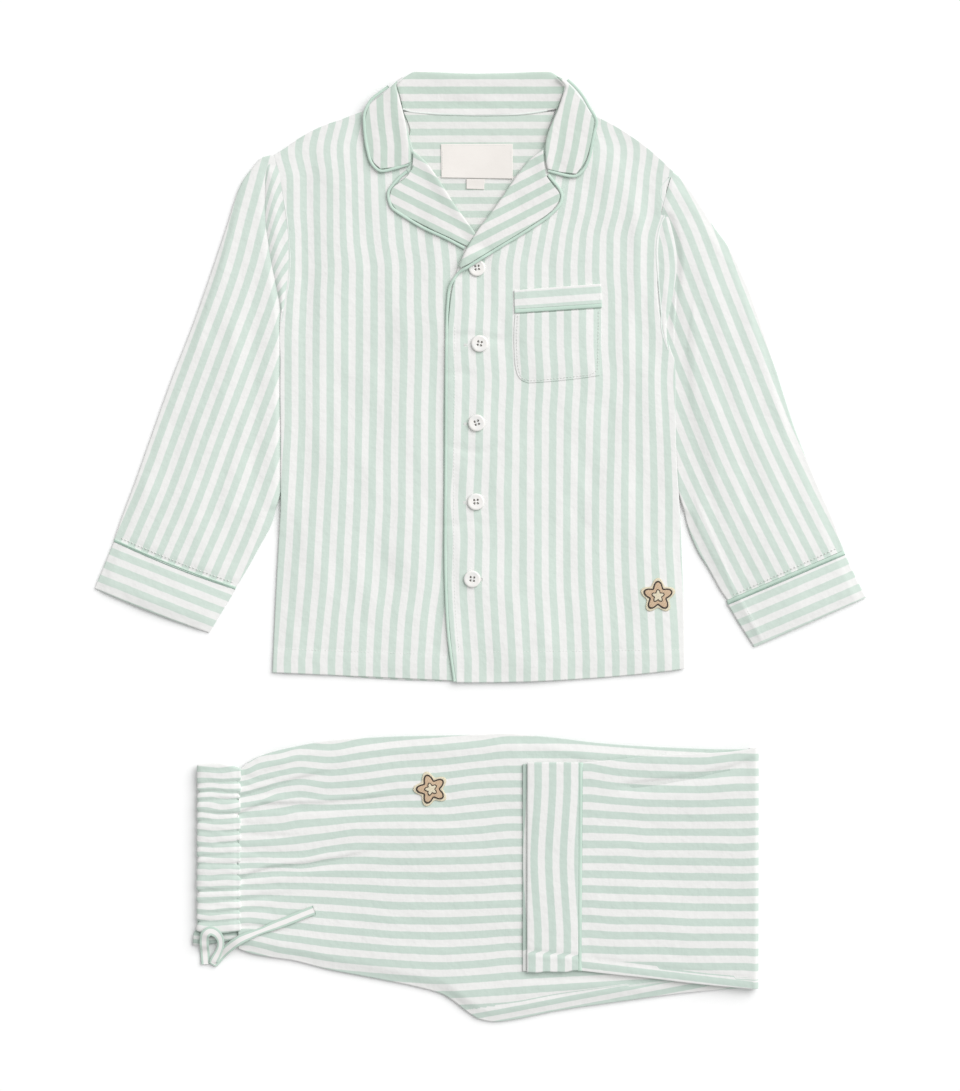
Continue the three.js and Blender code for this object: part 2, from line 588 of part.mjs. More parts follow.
// A narrow strip along a centre line with z given, flattened to width by height. Its wide axis stays
// level, also where the strip turns back over itself.
function strip(path, width, height) {
  const points = path.map((p) => new THREE.Vector3(p.x, p.y, p.z));
  let across = null;
  const outer = [];
  const inner = [];
  points.forEach((p, i) => {
    const along = points[Math.min(i + 1, points.length - 1)]
      .clone()
      .sub(points[Math.max(i - 1, 0)])
      .normalize();
    const level = new THREE.Vector3(-along.y, along.x, 0);
    if (level.length() > 0.25) {
      level.normalize();
      if (across && level.dot(across) < 0) level.negate();
      across = level;
    }
    const up = new THREE.Vector3().crossVectors(along, across).normalize();
    const place = (a, h) =>
      p.clone().addScaledVector(across, a).addScaledVector(up, h).toArray();
    const w = width / 2;
    const h = height / 2;
    outer.push([place(-w, 0.3 * h), place(-0.6 * w, h), place(0.6 * w, h), place(w, 0.3 * h)]);
    inner.push([place(-w, -0.3 * h), place(-0.6 * w, -h), place(0.6 * w, -h), place(w, -0.3 * h)]);
  });
  return shell(outer, inner);
}

// ---- booleans for the buttons ---------------------------------------------------------------------------
const wasm = await Module();
wasm.setup();
const toSolid = (g) => {
  const p = g.index ? g.toNonIndexed() : g;
  const mesh = new wasm.Mesh({
    numProp: 3,
    vertProperties: p.attributes.position.array,
    triVerts: Uint32Array.from({ length: p.attributes.position.count }, (_, i) => i),
  });
  mesh.merge();
  return new wasm.Manifold(mesh);
};
const toGeometry = (solid) => {
  const m = solid.getMesh();
  const g = new THREE.BufferGeometry();
  g.setAttribute("position", new THREE.Float32BufferAttribute([...m.vertProperties], 3));
  g.setIndex([...m.triVerts]);
  g.computeVertexNormals();
  return g;
};

// Round button: flat back, raised rim, dished face, four holes through it
function buttonGeometry() {
  const { radius, thick, hole, holeRing, rim } = BUTTON;
  const profile = [
    [0, 0],
    [radius - 0.9, 0],
    [radius, 0.8],
    [radius, thick - 0.5],
    [radius - 0.4, thick],
    [radius - rim - 0.3, thick],
    [radius - rim - 0.9, thick - 0.55],
    [0, thick - 0.7],
  ].map(([r, z]) => new THREE.Vector2(r, z));
  const body = new THREE.LatheGeometry(profile, 28).rotateX(Math.PI / 2);
  let solid = toSolid(body);
  if (solid.volume() < 0) throw new Error("button profile runs the wrong way");
  for (const sx of [-1, 1])
    for (const sy of [-1, 1]) {
      const drill = new THREE.CylinderGeometry(hole, hole, 3 * thick, 8)
        .rotateX(Math.PI / 2)
        .translate((sx * holeRing) / Math.SQRT2, (sy * holeRing) / Math.SQRT2, thick / 2);
      solid = solid.subtract(toSolid(drill));
    }
  return toGeometry(solid);
}

// Sewn-on patch: a plain five-pointed star with rounded points, 1.4 thick
function starGeometry(radius, turn) {
  const shape = new THREE.Shape();
  const points = 50;
  for (let k = 0; k < points; k++) {
    const a = (2 * Math.PI * k) / points;
    const r = radius * (0.79 + 0.21 * Math.cos(5 * a));
    const x = r * Math.cos(a + turn);
    const y = r * Math.sin(a + turn);
    if (k) shape.lineTo(x, y);
    else shape.moveTo(x, y);
  }
  return new THREE.ExtrudeGeometry(shape, {
    depth: 1.0,
    bevelEnabled: true,
    bevelThickness: 0.2,
    bevelSize: 0.25,
    bevelOffset: -0.25,
    bevelSegments: 1,
    curveSegments: 1,
  }).translate(0, 0, 0.2);
}

// ---- the set --------------------------------------------------------------------------------------------
const set = new THREE.Group();
function add(name, geometry, color, roughness = 0.85) {
  const mesh = new THREE.Mesh(
    geometry,
    new THREE.MeshStandardMaterial({ color, roughness, name }),
  );
  mesh.name = name;
  set.add(mesh);
  return mesh;
}

// Shirt body
SHIRT_BACK[0].power = SQUARE_BOW;
add("shirt_back", panel(SHIRT_BACK, 10, () => 0), SHIRTING);
add("shirt_front_right", panel(FRONT_RIGHT, 8, frontUnder), SHIRTING);
add("shirt_front_left", panel(FRONT_LEFT, 10, leftUnder), SHIRTING);
add("neck_facing", panel(NECK_FACING, 6, () => WALL + GAP, () => 0.8), SHIRTING);
const facingTop = WALL + GAP + 0.8;
add("neck_label", panel(NECK_LABEL, 2, () => facingTop + GAP, () => 0.6), CREAM);
add("size_tab", panel(SIZE_TAB, 1, () => facingTop + GAP, () => 0.6), CREAM);

// Collar: the band behind the neck is a fold, round along its upper edge
add(
  "collar_back",
  panel(COLLAR_BACK, 5, (x, y, t) => (t === 0 ? 0.9 : 0), (t) => (t === 0 ? 1.2 : t < 0.3 ? 3.2 : 2.9)),
  SHIRTING,
);
const rollAt = (t) => ROLL * (1 - ease(0, 0.45, t));
add("collar_wing_left", panel(WING_LEFT, 4, () => WING_UNDER, (t) => WALL + rollAt(1 - t)), SHIRTING);
add("collar_wing_right", panel(WING_RIGHT, 4, () => WING_UNDER, (t) => WALL + rollAt(t)), SHIRTING);
add("lapel_left", panel(LAPEL_LEFT, 4, lapelLeftUnder, (t) => WALL + rollAt(1 - t)), SHIRTING);
add("lapel_right", panel(LAPEL_RIGHT, 4, lapelRightUnder, (t) => WALL + rollAt(t)), SHIRTING);

// Piping: a narrow folded strip that stands out along the edge
const PIPE = { width: 2.2, height: 1.4 };
const level = (path, z) => path.map((p) => ({ ...p, z: z(p.x, p.y) }));
const half = PIPE.height / 2;
add(
  "piping_wing_left",
  strip(level(WING_LEFT_EDGE, () => WING_UNDER + half), PIPE.width, PIPE.height),
  MINT,
);
add(
  "piping_wing_right",
  strip(level(WING_RIGHT_EDGE, () => WING_UNDER + half), PIPE.width, PIPE.height),
  MINT,
);
add(
  "piping_lapel_left",
  strip(level(LAPEL_LEFT_EDGE, (x, y) => lapelLeftUnder(x, y) + half + 0.1), PIPE.width, PIPE.height),
  MINT,
);
const DROP = { from: 203, to: 194 }; // where the piping comes down from the lapel to the buttonhole edge
add(
  "piping_placket",
  strip(
    level(PLACKET_EDGE, (x, y) =>
      mix(leftUnder(x, y) + 0.1, lapelRightUnder(x, y) + 0.1, ease(DROP.to, DROP.from, y)) + half,
    ),
    PIPE.width,
    PIPE.height,
  ),
  MINT,
);

// Pocket
const onLeft = (x, y) => leftTop(x, y) + GAP;
add("pocket", panel(POCKET, 5, onLeft), SHIRTING);
add("pocket_band", panel(POCKET_BAND, 5, onLeft, () => 1.3), SHIRTING);
add("pocket_piping", panel(POCKET_PIPING, 5, onLeft, () => 1.5), MINT);

// Buttons
BUTTONS.forEach((b, i) => {
  const g = buttonGeometry().translate(b.x, b.y, leftTop(b.x, b.y) + GAP);
  add("button_" + (i + 1), g, PEARL, 0.3);
});

// A patch lies on the plane that touches the cloth under its middle
function patch(name, { x, y }, radius, turn, top) {
  const d = 6;
  const z = top(x, y);
  const sx = (top(x + d, y) - top(x - d, y)) / (2 * d);
  const sy = (top(x, y + d) - top(x, y - d)) / (2 * d);
  const g = starGeometry(radius, turn);
  const p = g.attributes.position;
  for (let i = 0; i < p.count; i++)
    p.setXYZ(
      i,
      p.getX(i) + x,
      p.getY(i) + y,
      p.getZ(i) + z + GAP + 0.15 + sx * p.getX(i) + sy * p.getY(i),
    );
  g.computeVertexNormals();
  add(name, g, TAN, 0.8);
}
const STAR_RADIUS = 14.5;
patch("patch_shirt", STARS.shirt, STAR_RADIUS, Math.PI / 2, leftTop);

// Sleeves: flattened tubes, a little fuller towards the middle
const sleeveHeight = (x, y, t) => FLAT_TUBE + 1.2 * Math.sin(Math.PI * clamp(t)) ** 2;
add("sleeve_left", flatTube(SLEEVE_LEFT, 4, sleeveHeight), SHIRTING);
add("sleeve_right", flatTube(SLEEVE_RIGHT, 4, sleeveHeight), SHIRTING);
const cuffHeight = (x, y, t) => FLAT_TUBE + 0.2 + 0.8 * Math.sin(Math.PI * clamp(t)) ** 2;
add("cuff_left", flatTube(CUFF_LEFT, 4, cuffHeight), SHIRTING);
add("cuff_right", flatTube(CUFF_RIGHT, 4, cuffHeight), SHIRTING);
const ringHeight = (x, y, t) => FLAT_TUBE + 0.6 + Math.sin(Math.PI * clamp(t)) ** 2;
add("piping_cuff_left", flatTube(CUFF_PIPING_LEFT, 4, ringHeight), MINT);
add("piping_cuff_right", flatTube(CUFF_PIPING_RIGHT, 4, ringHeight), MINT);

// Trousers. The legs lie on each other, four layers of cloth: three hidden and one that shows.
const WAIST = THIGH[0].lx;
const FOLD = SHIN[SHIN.length - 1].lx;
const CUFF_SEAM = SHIN[0].lx;
const gathers = (x, y) =>
  0.5 * Math.exp(-(x - WAIST) / 30) * (1 + Math.cos((2 * Math.PI * (y + 240)) / 19));
const thighUnder = (x, y) => CORE_THIGH + GAP + gathers(x, y);
add(
  "trousers_hidden_layers",
  foldedLayers(between(THIGH, WAIST - 1, FOLD - 6).filter((_, i) => i % 2 === 0 || i > 8), {
    base: 0,
    height: CORE_THIGH,
    layers: 3,
    inset: 0.6,
  }),
  SHIRTING,
);
add(
  "leg_left_upper",
  panel(between(THIGH, WAIST - 1, FOLD - 6), 15, (x, y, t) =>
    thighUnder(x, y) - (t === 0 || t === 1 ? 0.25 : 0),
  ),
  SHIRTING,
);
const shinBase = CORE_THIGH + GAP + WALL + GAP;
const shinRows = SHIN.slice(0, -1);
add(
  "lower_legs_hidden_layers",
  foldedLayers(shinRows, {
    base: shinBase,
    height: CORE_SHIN,
    layers: 3,
    inset: 0.6,
  }),
  SHIRTING,
);
// The outermost layer comes round the fold: flat on top, down round the end, and a little way back
// under the hidden layers
const shinTop = shinBase + CORE_SHIN + GAP + WALL;
function foldedSheet(rows, top, returnTo) {
  const radius = top / 2;
  const last = rows[rows.length - 1];
  const stations = rows.slice(0, -1).map((r) => ({ row: r, dx: 0, z: top, nx: 0, nz: 1 }));
  const bend = 6;
  for (let k = 0; k <= bend; k++) {
    const a = Math.PI / 2 - (Math.PI * k) / bend;
    stations.push({
      row: last,
      dx: radius * (Math.cos(a) - 1),
      z: radius + radius * Math.sin(a),
      nx: Math.cos(a),
      nz: Math.sin(a),
    });
  }
  stations.push({ row: last, dx: returnTo - last.lx, z: 0, nx: 0, nz: -1 });
  const across = 8;
  const grid = (depth) =>
    stations.map((s) =>
      Array.from({ length: across + 1 }, (_, j) => {
        const [x, y] = onRow(s.row, j / across);
        return [x + s.dx - depth * s.nx, y, s.z - depth * s.nz];
      }),
    );
  return shell(grid(0), grid(WALL));
}
add("leg_right_lower", foldedSheet(SHIN, shinTop, FOLD - 5.5), SHIRTING);
add(
  "trouser_cuff_under",
  foldedLayers(CUFF_UNDER, { base: shinBase, height: 1.5, layers: 2, inset: 0 }),
  SHIRTING,
);
add(
  "trouser_cuff_upper",
  foldedLayers(CUFF_UPPER, {
    base: shinBase + 1.5 + GAP,
    height: shinTop - shinBase - 1.5 - GAP,
    layers: 2,
    inset: 0,
  }),
  SHIRTING,
);
add("piping_leg", panel(LEG_PIPING, 6, () => shinTop - 1.6, () => 1.8), MINT);

// Waistband, gathered on its elastic and doubled like the legs
const bandRipple = (x, y) => 0.45 * (1 + Math.cos((2 * Math.PI * (y + 236)) / 10.5));
add(
  "waistband_under",
  panel(WAISTBAND_UNDER, 12, () => 0, () => 2.6),
  SHIRTING,
);
add(
  "waistband",
  panel(WAISTBAND, 44, () => 2.6 + GAP, (t) => 2.6 + bandRipple(0, mix(WAISTBAND[2].ly, WAISTBAND[2].ry, t))),
  SHIRTING,
);
add("drawstring", strip(DRAWSTRING, 7.2, 1.0), SHIRTING);
patch("patch_trousers", STARS.trousers, STAR_RADIUS, Math.PI, (x, y) => thighUnder(x, y) + WALL);

// ---- origin at the middle of the underside -----------------------------------------------------------------
const box = new THREE.Box3().setFromObject(set);
const centre = box.getCenter(new THREE.Vector3());
for (const mesh of set.children) mesh.geometry.translate(-centre.x, -centre.y, -box.min.z);

export default set;
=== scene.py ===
# Pyjama set of striped cotton: a long-sleeved shirt with a notched collar laid flat, and its trousers
# folded in half lengthwise with the lower legs turned back over the thighs.
# Shapes are worked out in millimetres: X to the right, Y up the view, Z up from the table. Meshes are in metres.
import math

import bpy
import numpy as np
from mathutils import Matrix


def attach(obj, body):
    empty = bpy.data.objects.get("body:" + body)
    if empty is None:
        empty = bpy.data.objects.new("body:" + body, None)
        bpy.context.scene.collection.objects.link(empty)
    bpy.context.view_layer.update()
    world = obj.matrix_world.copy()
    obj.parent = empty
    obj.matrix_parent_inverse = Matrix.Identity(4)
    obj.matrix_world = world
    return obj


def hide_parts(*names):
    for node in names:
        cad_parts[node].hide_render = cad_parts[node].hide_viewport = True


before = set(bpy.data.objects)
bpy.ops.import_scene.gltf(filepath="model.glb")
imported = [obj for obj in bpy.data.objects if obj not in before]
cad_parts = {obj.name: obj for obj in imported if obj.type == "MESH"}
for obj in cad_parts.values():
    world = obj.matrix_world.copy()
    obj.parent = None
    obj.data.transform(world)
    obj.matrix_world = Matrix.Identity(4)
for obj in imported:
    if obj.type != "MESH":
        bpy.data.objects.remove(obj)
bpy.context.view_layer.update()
MM = 0.001


# ---- measured outlines ------------------------------------------------------------------------------------
def rows(text):
    return np.array([[float(v) for v in line.split()] for line in text.strip().splitlines()])


# Each row crosses its piece: x and y of its left end, x and y of its right end, and how far its middle bows out
SHIRT_BACK = rows("""
-155.7 296.8 145.6 284.2 38
-147.7 259.5 138.8 257.3 22.8
-145.2 236.7 134.4 236.7 11.4
-145.6 216.2 133.6 216.2 3.8
-148.9 187.3 133 187.3 0
-151.3 170.6 136 170.6 0
-151.9 153.1 142.6 151.6 0
-152.3 122 148.7 122 0
-151.8 80.2 148.9 80.2 0
-151.8 33.8 151.4 33.8 0
-153.5 2.7 152.8 2.7 0
-155.9 -44.1 154.7 -44.1 0
-158 -93.1 155.5 -90.8 -10.6
""")
FRONT_RIGHT = rows("""
-156.5 297.9 -62.6 338.6 4.6
-152.7 284.6 -55.8 318.1 2.3
-150 270.9 -50.5 300.6 0
-147.4 255.7 -42.9 291.5 0
-145.2 236.7 -29.9 275.5 0
-145.2 220.2 -19.3 258.8 0
-146.7 199.5 -7.9 240.5 0
-150.8 178.2 7.3 216.2 0
-151.9 156.9 14.1 179.7 0
-152.3 122 14.9 134.1 0
-151.8 80.2 14.9 80.2 0
-151.8 33.8 14.9 33.8 0
-153.5 2.7 14.1 -2.7 0
-155.9 -44.1 13.4 -48.3 0
-158.2 -95.8 14.1 -103.7 0
""")
FRONT_LEFT = rows("""
60.5 337.1 146.4 285 6.8
54.4 320.3 139.5 273.2 4.6
49.1 303.6 139.5 255.7 1.5
36.2 292.2 134.6 236.7 0
21.7 272.5 133.5 216.2 0
12.6 258.8 132.7 194.9 0
0.5 242.8 135.7 170.6 0
-9.4 227.2 142.9 151.6 0
-17.4 208.6 148.3 138.7 0
-22 187.3 148.7 115.1 0
-24.2 156.9 148.7 92.3 0
-24.6 111.3 149.4 65.7 0
-25 58.1 151.5 30.8 0
-25.2 4.9 153.2 -6.5 0
-24.2 -40.7 154.7 -52.1 0
-21.6 -74.9 155.1 -74.9 0
-17.8 -103.4 155.5 -93.1 -3
""")
NECK_FACING = rows("""
-57.7 328.7 55.6 328.7 -0.8
-53.5 316.5 51.8 316.5 0
-57.3 305.1 57.5 305.1 0
-59.6 278.5 57.5 278.5 0
-44.4 248.1 43.8 248.1 0
-26.1 228.4 25.5 228.4 0
-10.9 219.3 10.3 219.3 -2.3
""")
COLLAR_BACK = rows("""
-64.1 351.5 -59.2 333.6 0
-57.3 357.2 -52 331.7 0
-48.6 361.4 -44 330.5 0
-30.7 360.6 -26.9 329.5 0
-7.1 359.7 -7.1 328.7 0
24 360.2 24 329.3 0
50.6 361.4 41.5 330.8 0
59 357.6 51.4 332.1 0
64.3 350 59 333.6 0
""")
WING_LEFT = rows("""
-62.2 353.8 -58.1 356.4 0
-67.6 348.2 -63.5 349.6 0
-75.7 341.6 -61.5 340.9 0
-84.3 333.6 -59.2 331.7 0
-86.6 322.6 -56.9 322.6 0
-85.8 310.5 -55 311.2 0
-83.9 299.8 -53.5 302.1 0
-80.9 293 -52.9 296 0
-75.9 288 -53.1 292.6 -1.1
""")
WING_RIGHT = rows("""
57.5 356.4 61.6 354.9 0
63.9 348.1 68.5 348.5 0
61.6 340.1 73.7 342.4 0
58.2 330.2 80.4 332.5 0
54 321.1 85.4 322.6 0
50.6 312 83.9 311.6 0
49.1 302.1 81.3 300.2 0
49.5 293.7 78 291.5 0
50.6 287.7 72.5 284.3 -0.8
""")
LAPEL_LEFT = rows("""
-51.2 295.3 -51.1 300.6 0
-51.8 288 -48.2 298.5 0
-59 278.3 -44.8 295.6 0
-67 270.5 -40.6 291.2 0
-68.2 264.9 -36 285.2 0
-62.6 255.7 -30.7 277.4 0
-48.8 248 -23.1 265.2 0
-33.8 240.2 -16.3 255.4 0
-21.7 234.6 -10.2 247 0
-10 228.1 -3.6 237.8 0
""")
LAPEL_RIGHT = rows("""
47.7 301.3 48 296 0
40.7 296.4 48.3 289.2 0
33.1 288.8 48.7 283.2 0
29.3 283.9 54.4 274.4 0
25.9 278.9 59.9 266.4 0
21.4 272.5 55.5 257.6 0
17.2 266.4 41 246.2 0
7.3 252.3 22.7 234.5 0
-3.3 238.3 6.8 224.9 0
-11.7 223.8 -6.9 216.3 0
-16.4 212.9 -14.7 211.4 0
""")
POCKET = rows("""
26.3 176.3 92 180.5 0
25.4 159.2 91.9 163.8 0
26 141.4 91.6 146.3 0
27.7 131.5 91.3 137.2 0
31.2 126.5 90.9 132.6 0
36.5 124.3 90.6 130 -0.8
""")
POCKET_BAND = rows("""
25.5 194.6 91.4 199.7 0
25.7 188.1 91.9 192.7 0
25.9 180.9 92.3 185.3 0
""")
POCKET_PIPING = rows("""
26 180.3 92.3 184.7 0
26.1 177.2 92.4 181.6 0
""")
NECK_LABEL = rows("""
-30.1 306 24.6 306.2 0
-29.7 280.5 24.6 279.6 0
""")
SIZE_TAB = rows("""
-10.6 279.5 3.2 279.3 0
-10.7 272 2.9 271.5 0
""")
SLEEVE_LEFT = rows("""
-157.4 298.3 -151.8 173.7 8.4
-166 296 -152.9 163.8 6.1
-174 287.3 -153.4 151.6 3.8
-180.9 277.8 -153.5 137.9 2.3
-185.3 267.9 -153.6 122.7 0
-193 243.6 -153.4 102.2 0
-204.7 208.6 -153.2 80.9 0
-218 170.6 -153.2 59.7 0
-234.9 127.3 -153.8 41.4 0
-249.6 86.3 -157.6 20.9 0
-263.6 46.7 -167.9 0.4 0
-273.9 19.4 -179.3 -20.1 0
-277.9 7.6 -184.8 -28.9 -1.5
""")
SLEEVE_RIGHT = rows("""
136.1 169.9 147.7 284 6.8
144.5 152.4 151.8 280.8 3.8
149.6 138.7 155.3 276.6 3
150.2 123.5 160.4 270.2 1.5
150.2 108.3 167.7 259.2 0
150.6 93.1 177.5 243.6 0
151.3 76.4 189.3 226.9 0
152.5 58.1 202.5 199.5 0
153.6 39.9 214 167.6 0
156.6 20.1 225.4 132.6 0
164.6 -1.9 239.1 90.1 0
174.5 -18.2 254.3 52.1 0
183.2 -33.8 268.7 19.4 0
186.9 -39 275.8 -1.1 0
""")
CUFF_LEFT = rows("""
-278.9 3.6 -186.6 -32.9 -1.5
-286.4 -14.8 -196.5 -49.4 -1.5
-293.4 -31.5 -206.1 -65.4 -1.5
""")
CUFF_RIGHT = rows("""
188.5 -44.6 277.7 -6.6 0
198.1 -60.4 285.6 -23.2 0
208.5 -76.5 293.4 -38.8 0
""")
CUFF_PIPING_LEFT = rows("""
-278 6.8 -185.1 -29.7 -1.5
-278.8 4.4 -186.4 -32.1 -1.5
""")
CUFF_PIPING_RIGHT = rows("""
187.3 -39.9 276.2 -2.1 0
188.2 -43.7 277.4 -5.8 0
""")
THIGH = rows("""
-181.9 -168.7 -181.9 -306.5 0
-175.9 -163.8 -175.9 -308.8 0
-168.3 -159.7 -168.3 -310.7 0
-156.1 -155.8 -156.1 -312.7 0
-144.2 -152.9 -144.2 -314.4 0
-114.1 -147.7 -114.1 -321.9 0
-78.1 -145.1 -78.1 -328.7 0
-53.5 -144.2 -48.2 -334.8 0
-33 -143.9 -29.9 -339.9 0
-21.6 -143.6 -20.8 -345.2 0
-10.9 -143.3 -10.2 -353.5 0
-0.3 -143.1 -0.3 -359.5 0
16.9 -142.3 11.1 -361.4 0
37.7 -143.7 24.8 -359.9 0
56.7 -145.5 56.7 -353.4 0
88.6 -149.3 104.9 -346.2 0
120.8 -151.8 152.8 -339.8 0
160.8 -153.6 178.3 -337.4 0
189.6 -154.3 195.8 -336.1 0
204.9 -154.1 204.9 -335.7 0
""")
SHIN = rows("""
78.7 -163.9 77.6 -322.2 0
104.6 -161.5 99.3 -324.7 0
136.5 -158.4 128.9 -327.8 0
166.9 -157.1 168.8 -332.5 0
189.7 -155.9 193.5 -334.8 0
211.7 -153.3 211.4 -336 0
""")
CUFF_UPPER = rows("""
35.6 -163.9 35.3 -323.2 0
54.4 -163.8 54 -322.8 0
73.9 -163.9 73.4 -322.3 0
""")
CUFF_UNDER = rows("""
32.2 -165.3 32.2 -322.6 0
54.4 -165.3 54.4 -322 0
77.2 -165.3 76.5 -321.1 0
""")
LEG_PIPING = rows("""
74.5 -163.9 74 -322.3 0
77.9 -163.9 77.1 -322.2 0
""")
WAISTBAND = rows("""
-216.9 -165.7 -217.1 -291.9 0
-210.1 -165 -210.1 -293.3 0
-198.3 -164.2 -198.3 -294 0
-188.8 -166.4 -188.8 -293 0
-182.7 -168.6 -182.7 -292.2 0
""")
WAISTBAND_UNDER = rows("""
-216.3 -168.3 -218.8 -303.6 0
-210.1 -167.6 -210.1 -303.2 0
-198.3 -167.6 -198.3 -301.3 0
-182.7 -169.9 -182.7 -299.1 0
""")
# Centre lines of the narrow strips
WING_LEFT_EDGE = [
    (-69.8, 349.5), (-77.1, 344.2), (-83.5, 338.6), (-88, 329.1), (-88.2, 319.6), (-87.2, 308.9),
    (-85.1, 298.3), (-82.9, 291.8), (-78.6, 286.7), (-74.4, 285.2), (-64.1, 287.5), (-53.9, 290.5),
]
WING_RIGHT_EDGE = [
    (66.2, 354.5), (71.6, 349.6), (77.6, 342.4), (82.9, 333.3), (88.2, 323.4), (86.9, 315.8), (85.3, 308.2),
    (83.1, 296.8), (79.5, 288), (73.8, 282), (68.9, 281.3), (59, 283.4), (51.4, 285.6),
]
LAPEL_LEFT_EDGE = [
    (-55.3, 285.5), (-61.7, 280.1), (-69.2, 271.2), (-70.1, 266.4), (-68.2, 259.4), (-65.4, 255.9),
    (-55.2, 249.2), (-42.3, 241.6), (-25.8, 234), (-11.9, 226.6),
]
PLACKET_EDGE = [
    (51.5, 282.3), (54.7, 278.4), (59.9, 271.9), (62, 266), (59.7, 258.9), (51.1, 250.4), (34.5, 239.3),
    (17.8, 229.2), (-0.2, 218), (-9.4, 212.1), (-15.9, 208.2), (-20.2, 202.9), (-23.4, 196.5),
    (-24.6, 187.3), (-25.5, 172.1), (-25.9, 141.7), (-26, 111.3), (-26.3, 58.1), (-26.6, 4.9),
    (-26.1, -33.1), (-24.2, -67.3), (-19.6, -102.6),
]
DRAWSTRING = [
    (-208.8, -317.7, 0.9), (-209.6, -308.2, 1), (-209.8, -303.2, 4.2), (-209.8, -299.1, 5.4),
    (-208.8, -294.5, 7.8), (-205.3, -291.6, 8.2), (-200.5, -293.4, 7.6), (-197.6, -298.1, 5.6),
    (-197.4, -303.6, 4.2), (-199.7, -309.7, 3), (-202.6, -315, 2.4), (-203.1, -316.7, 1.6),
    (-201.4, -315.5, 0.9), (-197.1, -310.5, 1.2), (-191.1, -304.8, 3.8), (-185.7, -300.6, 5.8),
    (-180.4, -297.5, 6.3), (-170.5, -293.4, 6), (-161.4, -289.9, 5.6), (-144.7, -283.5, 5.3),
    (-134.8, -279.5, 5.2), (-126, -276, 5.1),
]
BUTTONS = [(-2.6, 211.7), (-0.6, 154.1), (-2.8, 93.9), (-3.4, 34), (-6.2, -24.7)]
STARS = {"shirt": (135, -37.6), "trousers": (-37.5, -184.3)}
SCALE, CX, CY = 0.76, 480.4, 546.5  # measuring grid: millimetres a step, and its place of the origin
CUFFX, SHIN_TOP, SHIN_LOW = 33.1, -164.5, -323.4  # where the turned-back legs lie
WORLD_LIGHT = 0.52
SUN = (1.0, 0.9, 1.2)  # towards the light
SUN_POWER, SUN_SPREAD = 2.56, 52.0
BRIGHT = 0.938
FLOOR = 0.965
TAPE_LIFT, TAPE_EXIT = 0.3, None



# ---- small mathematics ------------------------------------------------------------------------------------
def ease(a, b, x):
    t = np.clip((np.asarray(x, float) - a) / (b - a), 0, 1)
    return t * t * (3 - 2 * t)


def spline(xs, ys, x):
    """Smooth curve through the points that doesn't overshoot, straight beyond its ends"""
    xs, ys, x = (np.asarray(v, float) for v in (xs, ys, x))
    if len(xs) == 2:
        return ys[0] + (ys[1] - ys[0]) * (x - xs[0]) / (xs[1] - xs[0])
    d = np.diff(ys) / np.diff(xs)
    m = np.empty(len(xs))
    m[0], m[-1] = d[0], d[-1]
    for k in range(1, len(xs) - 1):
        m[k] = 0 if d[k - 1] * d[k] <= 0 else 2 * d[k - 1] * d[k] / (d[k - 1] + d[k])
    i = np.clip(np.searchsorted(xs, x) - 1, 0, len(xs) - 2)
    h = xs[i + 1] - xs[i]
    t = np.clip((x - xs[i]) / h, 0, 1)
    inner = (
        (2 * t**3 - 3 * t**2 + 1) * ys[i]
        + (t**3 - 2 * t**2 + t) * h * m[i]
        + (3 * t**2 - 2 * t**3) * ys[i + 1]
        + (t**3 - t**2) * h * m[i + 1]
    )
    return inner + np.minimum(x - xs[0], 0) * m[0] + np.maximum(x - xs[-1], 0) * m[-1]


def lattice(ix, iy, seed):
    n = (ix.astype(np.int64) * 374761393 + iy.astype(np.int64) * 668265263 + seed * 144269504) & 0xFFFFFFFF
    n = ((n ^ (n >> 13)) * 1274126177) & 0xFFFFFFFF
    return ((n ^ (n >> 16)) & 0xFFFFFF) / float(0xFFFFFF)


def wander(x, y, size, seed):
    """Smooth unevenness from -1 to 1, of that size in millimetres (one number, or one for each direction)"""
    sx, sy = size if hasattr(size, "__len__") else (size, size)
    x, y = np.asarray(x, float) / sx + 0.37 * seed, np.asarray(y, float) / sy - 0.61 * seed
    ix, iy = np.floor(x), np.floor(y)
    fx, fy = x - ix, y - iy
    ux, uy = (f * f * f * (f * (f * 6 - 15) + 10) for f in (fx, fy))
    a, b = lattice(ix, iy, seed), lattice(ix + 1, iy, seed)
    c, d = lattice(ix, iy + 1, seed), lattice(ix + 1, iy + 1, seed)
    return 2 * ((a * (1 - ux) + b * ux) * (1 - uy) + (c * (1 - ux) + d * ux) * uy) - 1


def smooth_path(points, step):
    """Points along a curve through the given ones, a step apart (any number of coordinates)"""
    p = np.asarray(points, float)
    s = np.r_[0, np.cumsum(np.hypot(*np.diff(p[:, :2], axis=0).T))]
    n = max(2, int(round(s[-1] / step)) + 1)
    at = np.linspace(0, s[-1], n)
    # centripetal Catmull-Rom through the points
    q = np.vstack([2 * p[0] - p[1], p, 2 * p[-1] - p[-2]])
    i = np.clip(np.searchsorted(s, at, side="right") - 1, 0, len(p) - 2)
    t = ((at - s[i]) / (s[i + 1] - s[i]))[:, None]
    h = (s[i + 1] - s[i])[:, None]
    sq = np.r_[-(s[1] - s[0]), s, s[-1] + s[-1] - s[-2]]
    m0 = (q[i + 2] - q[i]) / (sq[i + 2] - sq[i])[:, None] * h
    m1 = (q[i + 3] - q[i + 1]) / (sq[i + 3] - sq[i + 1])[:, None] * h
    return (
        (2 * t**3 - 3 * t**2 + 1) * q[i + 1]
        + (t**3 - 2 * t**2 + t) * m0
        + (3 * t**2 - 2 * t**3) * q[i + 2]
        + (t**3 - t**2) * m1
    )


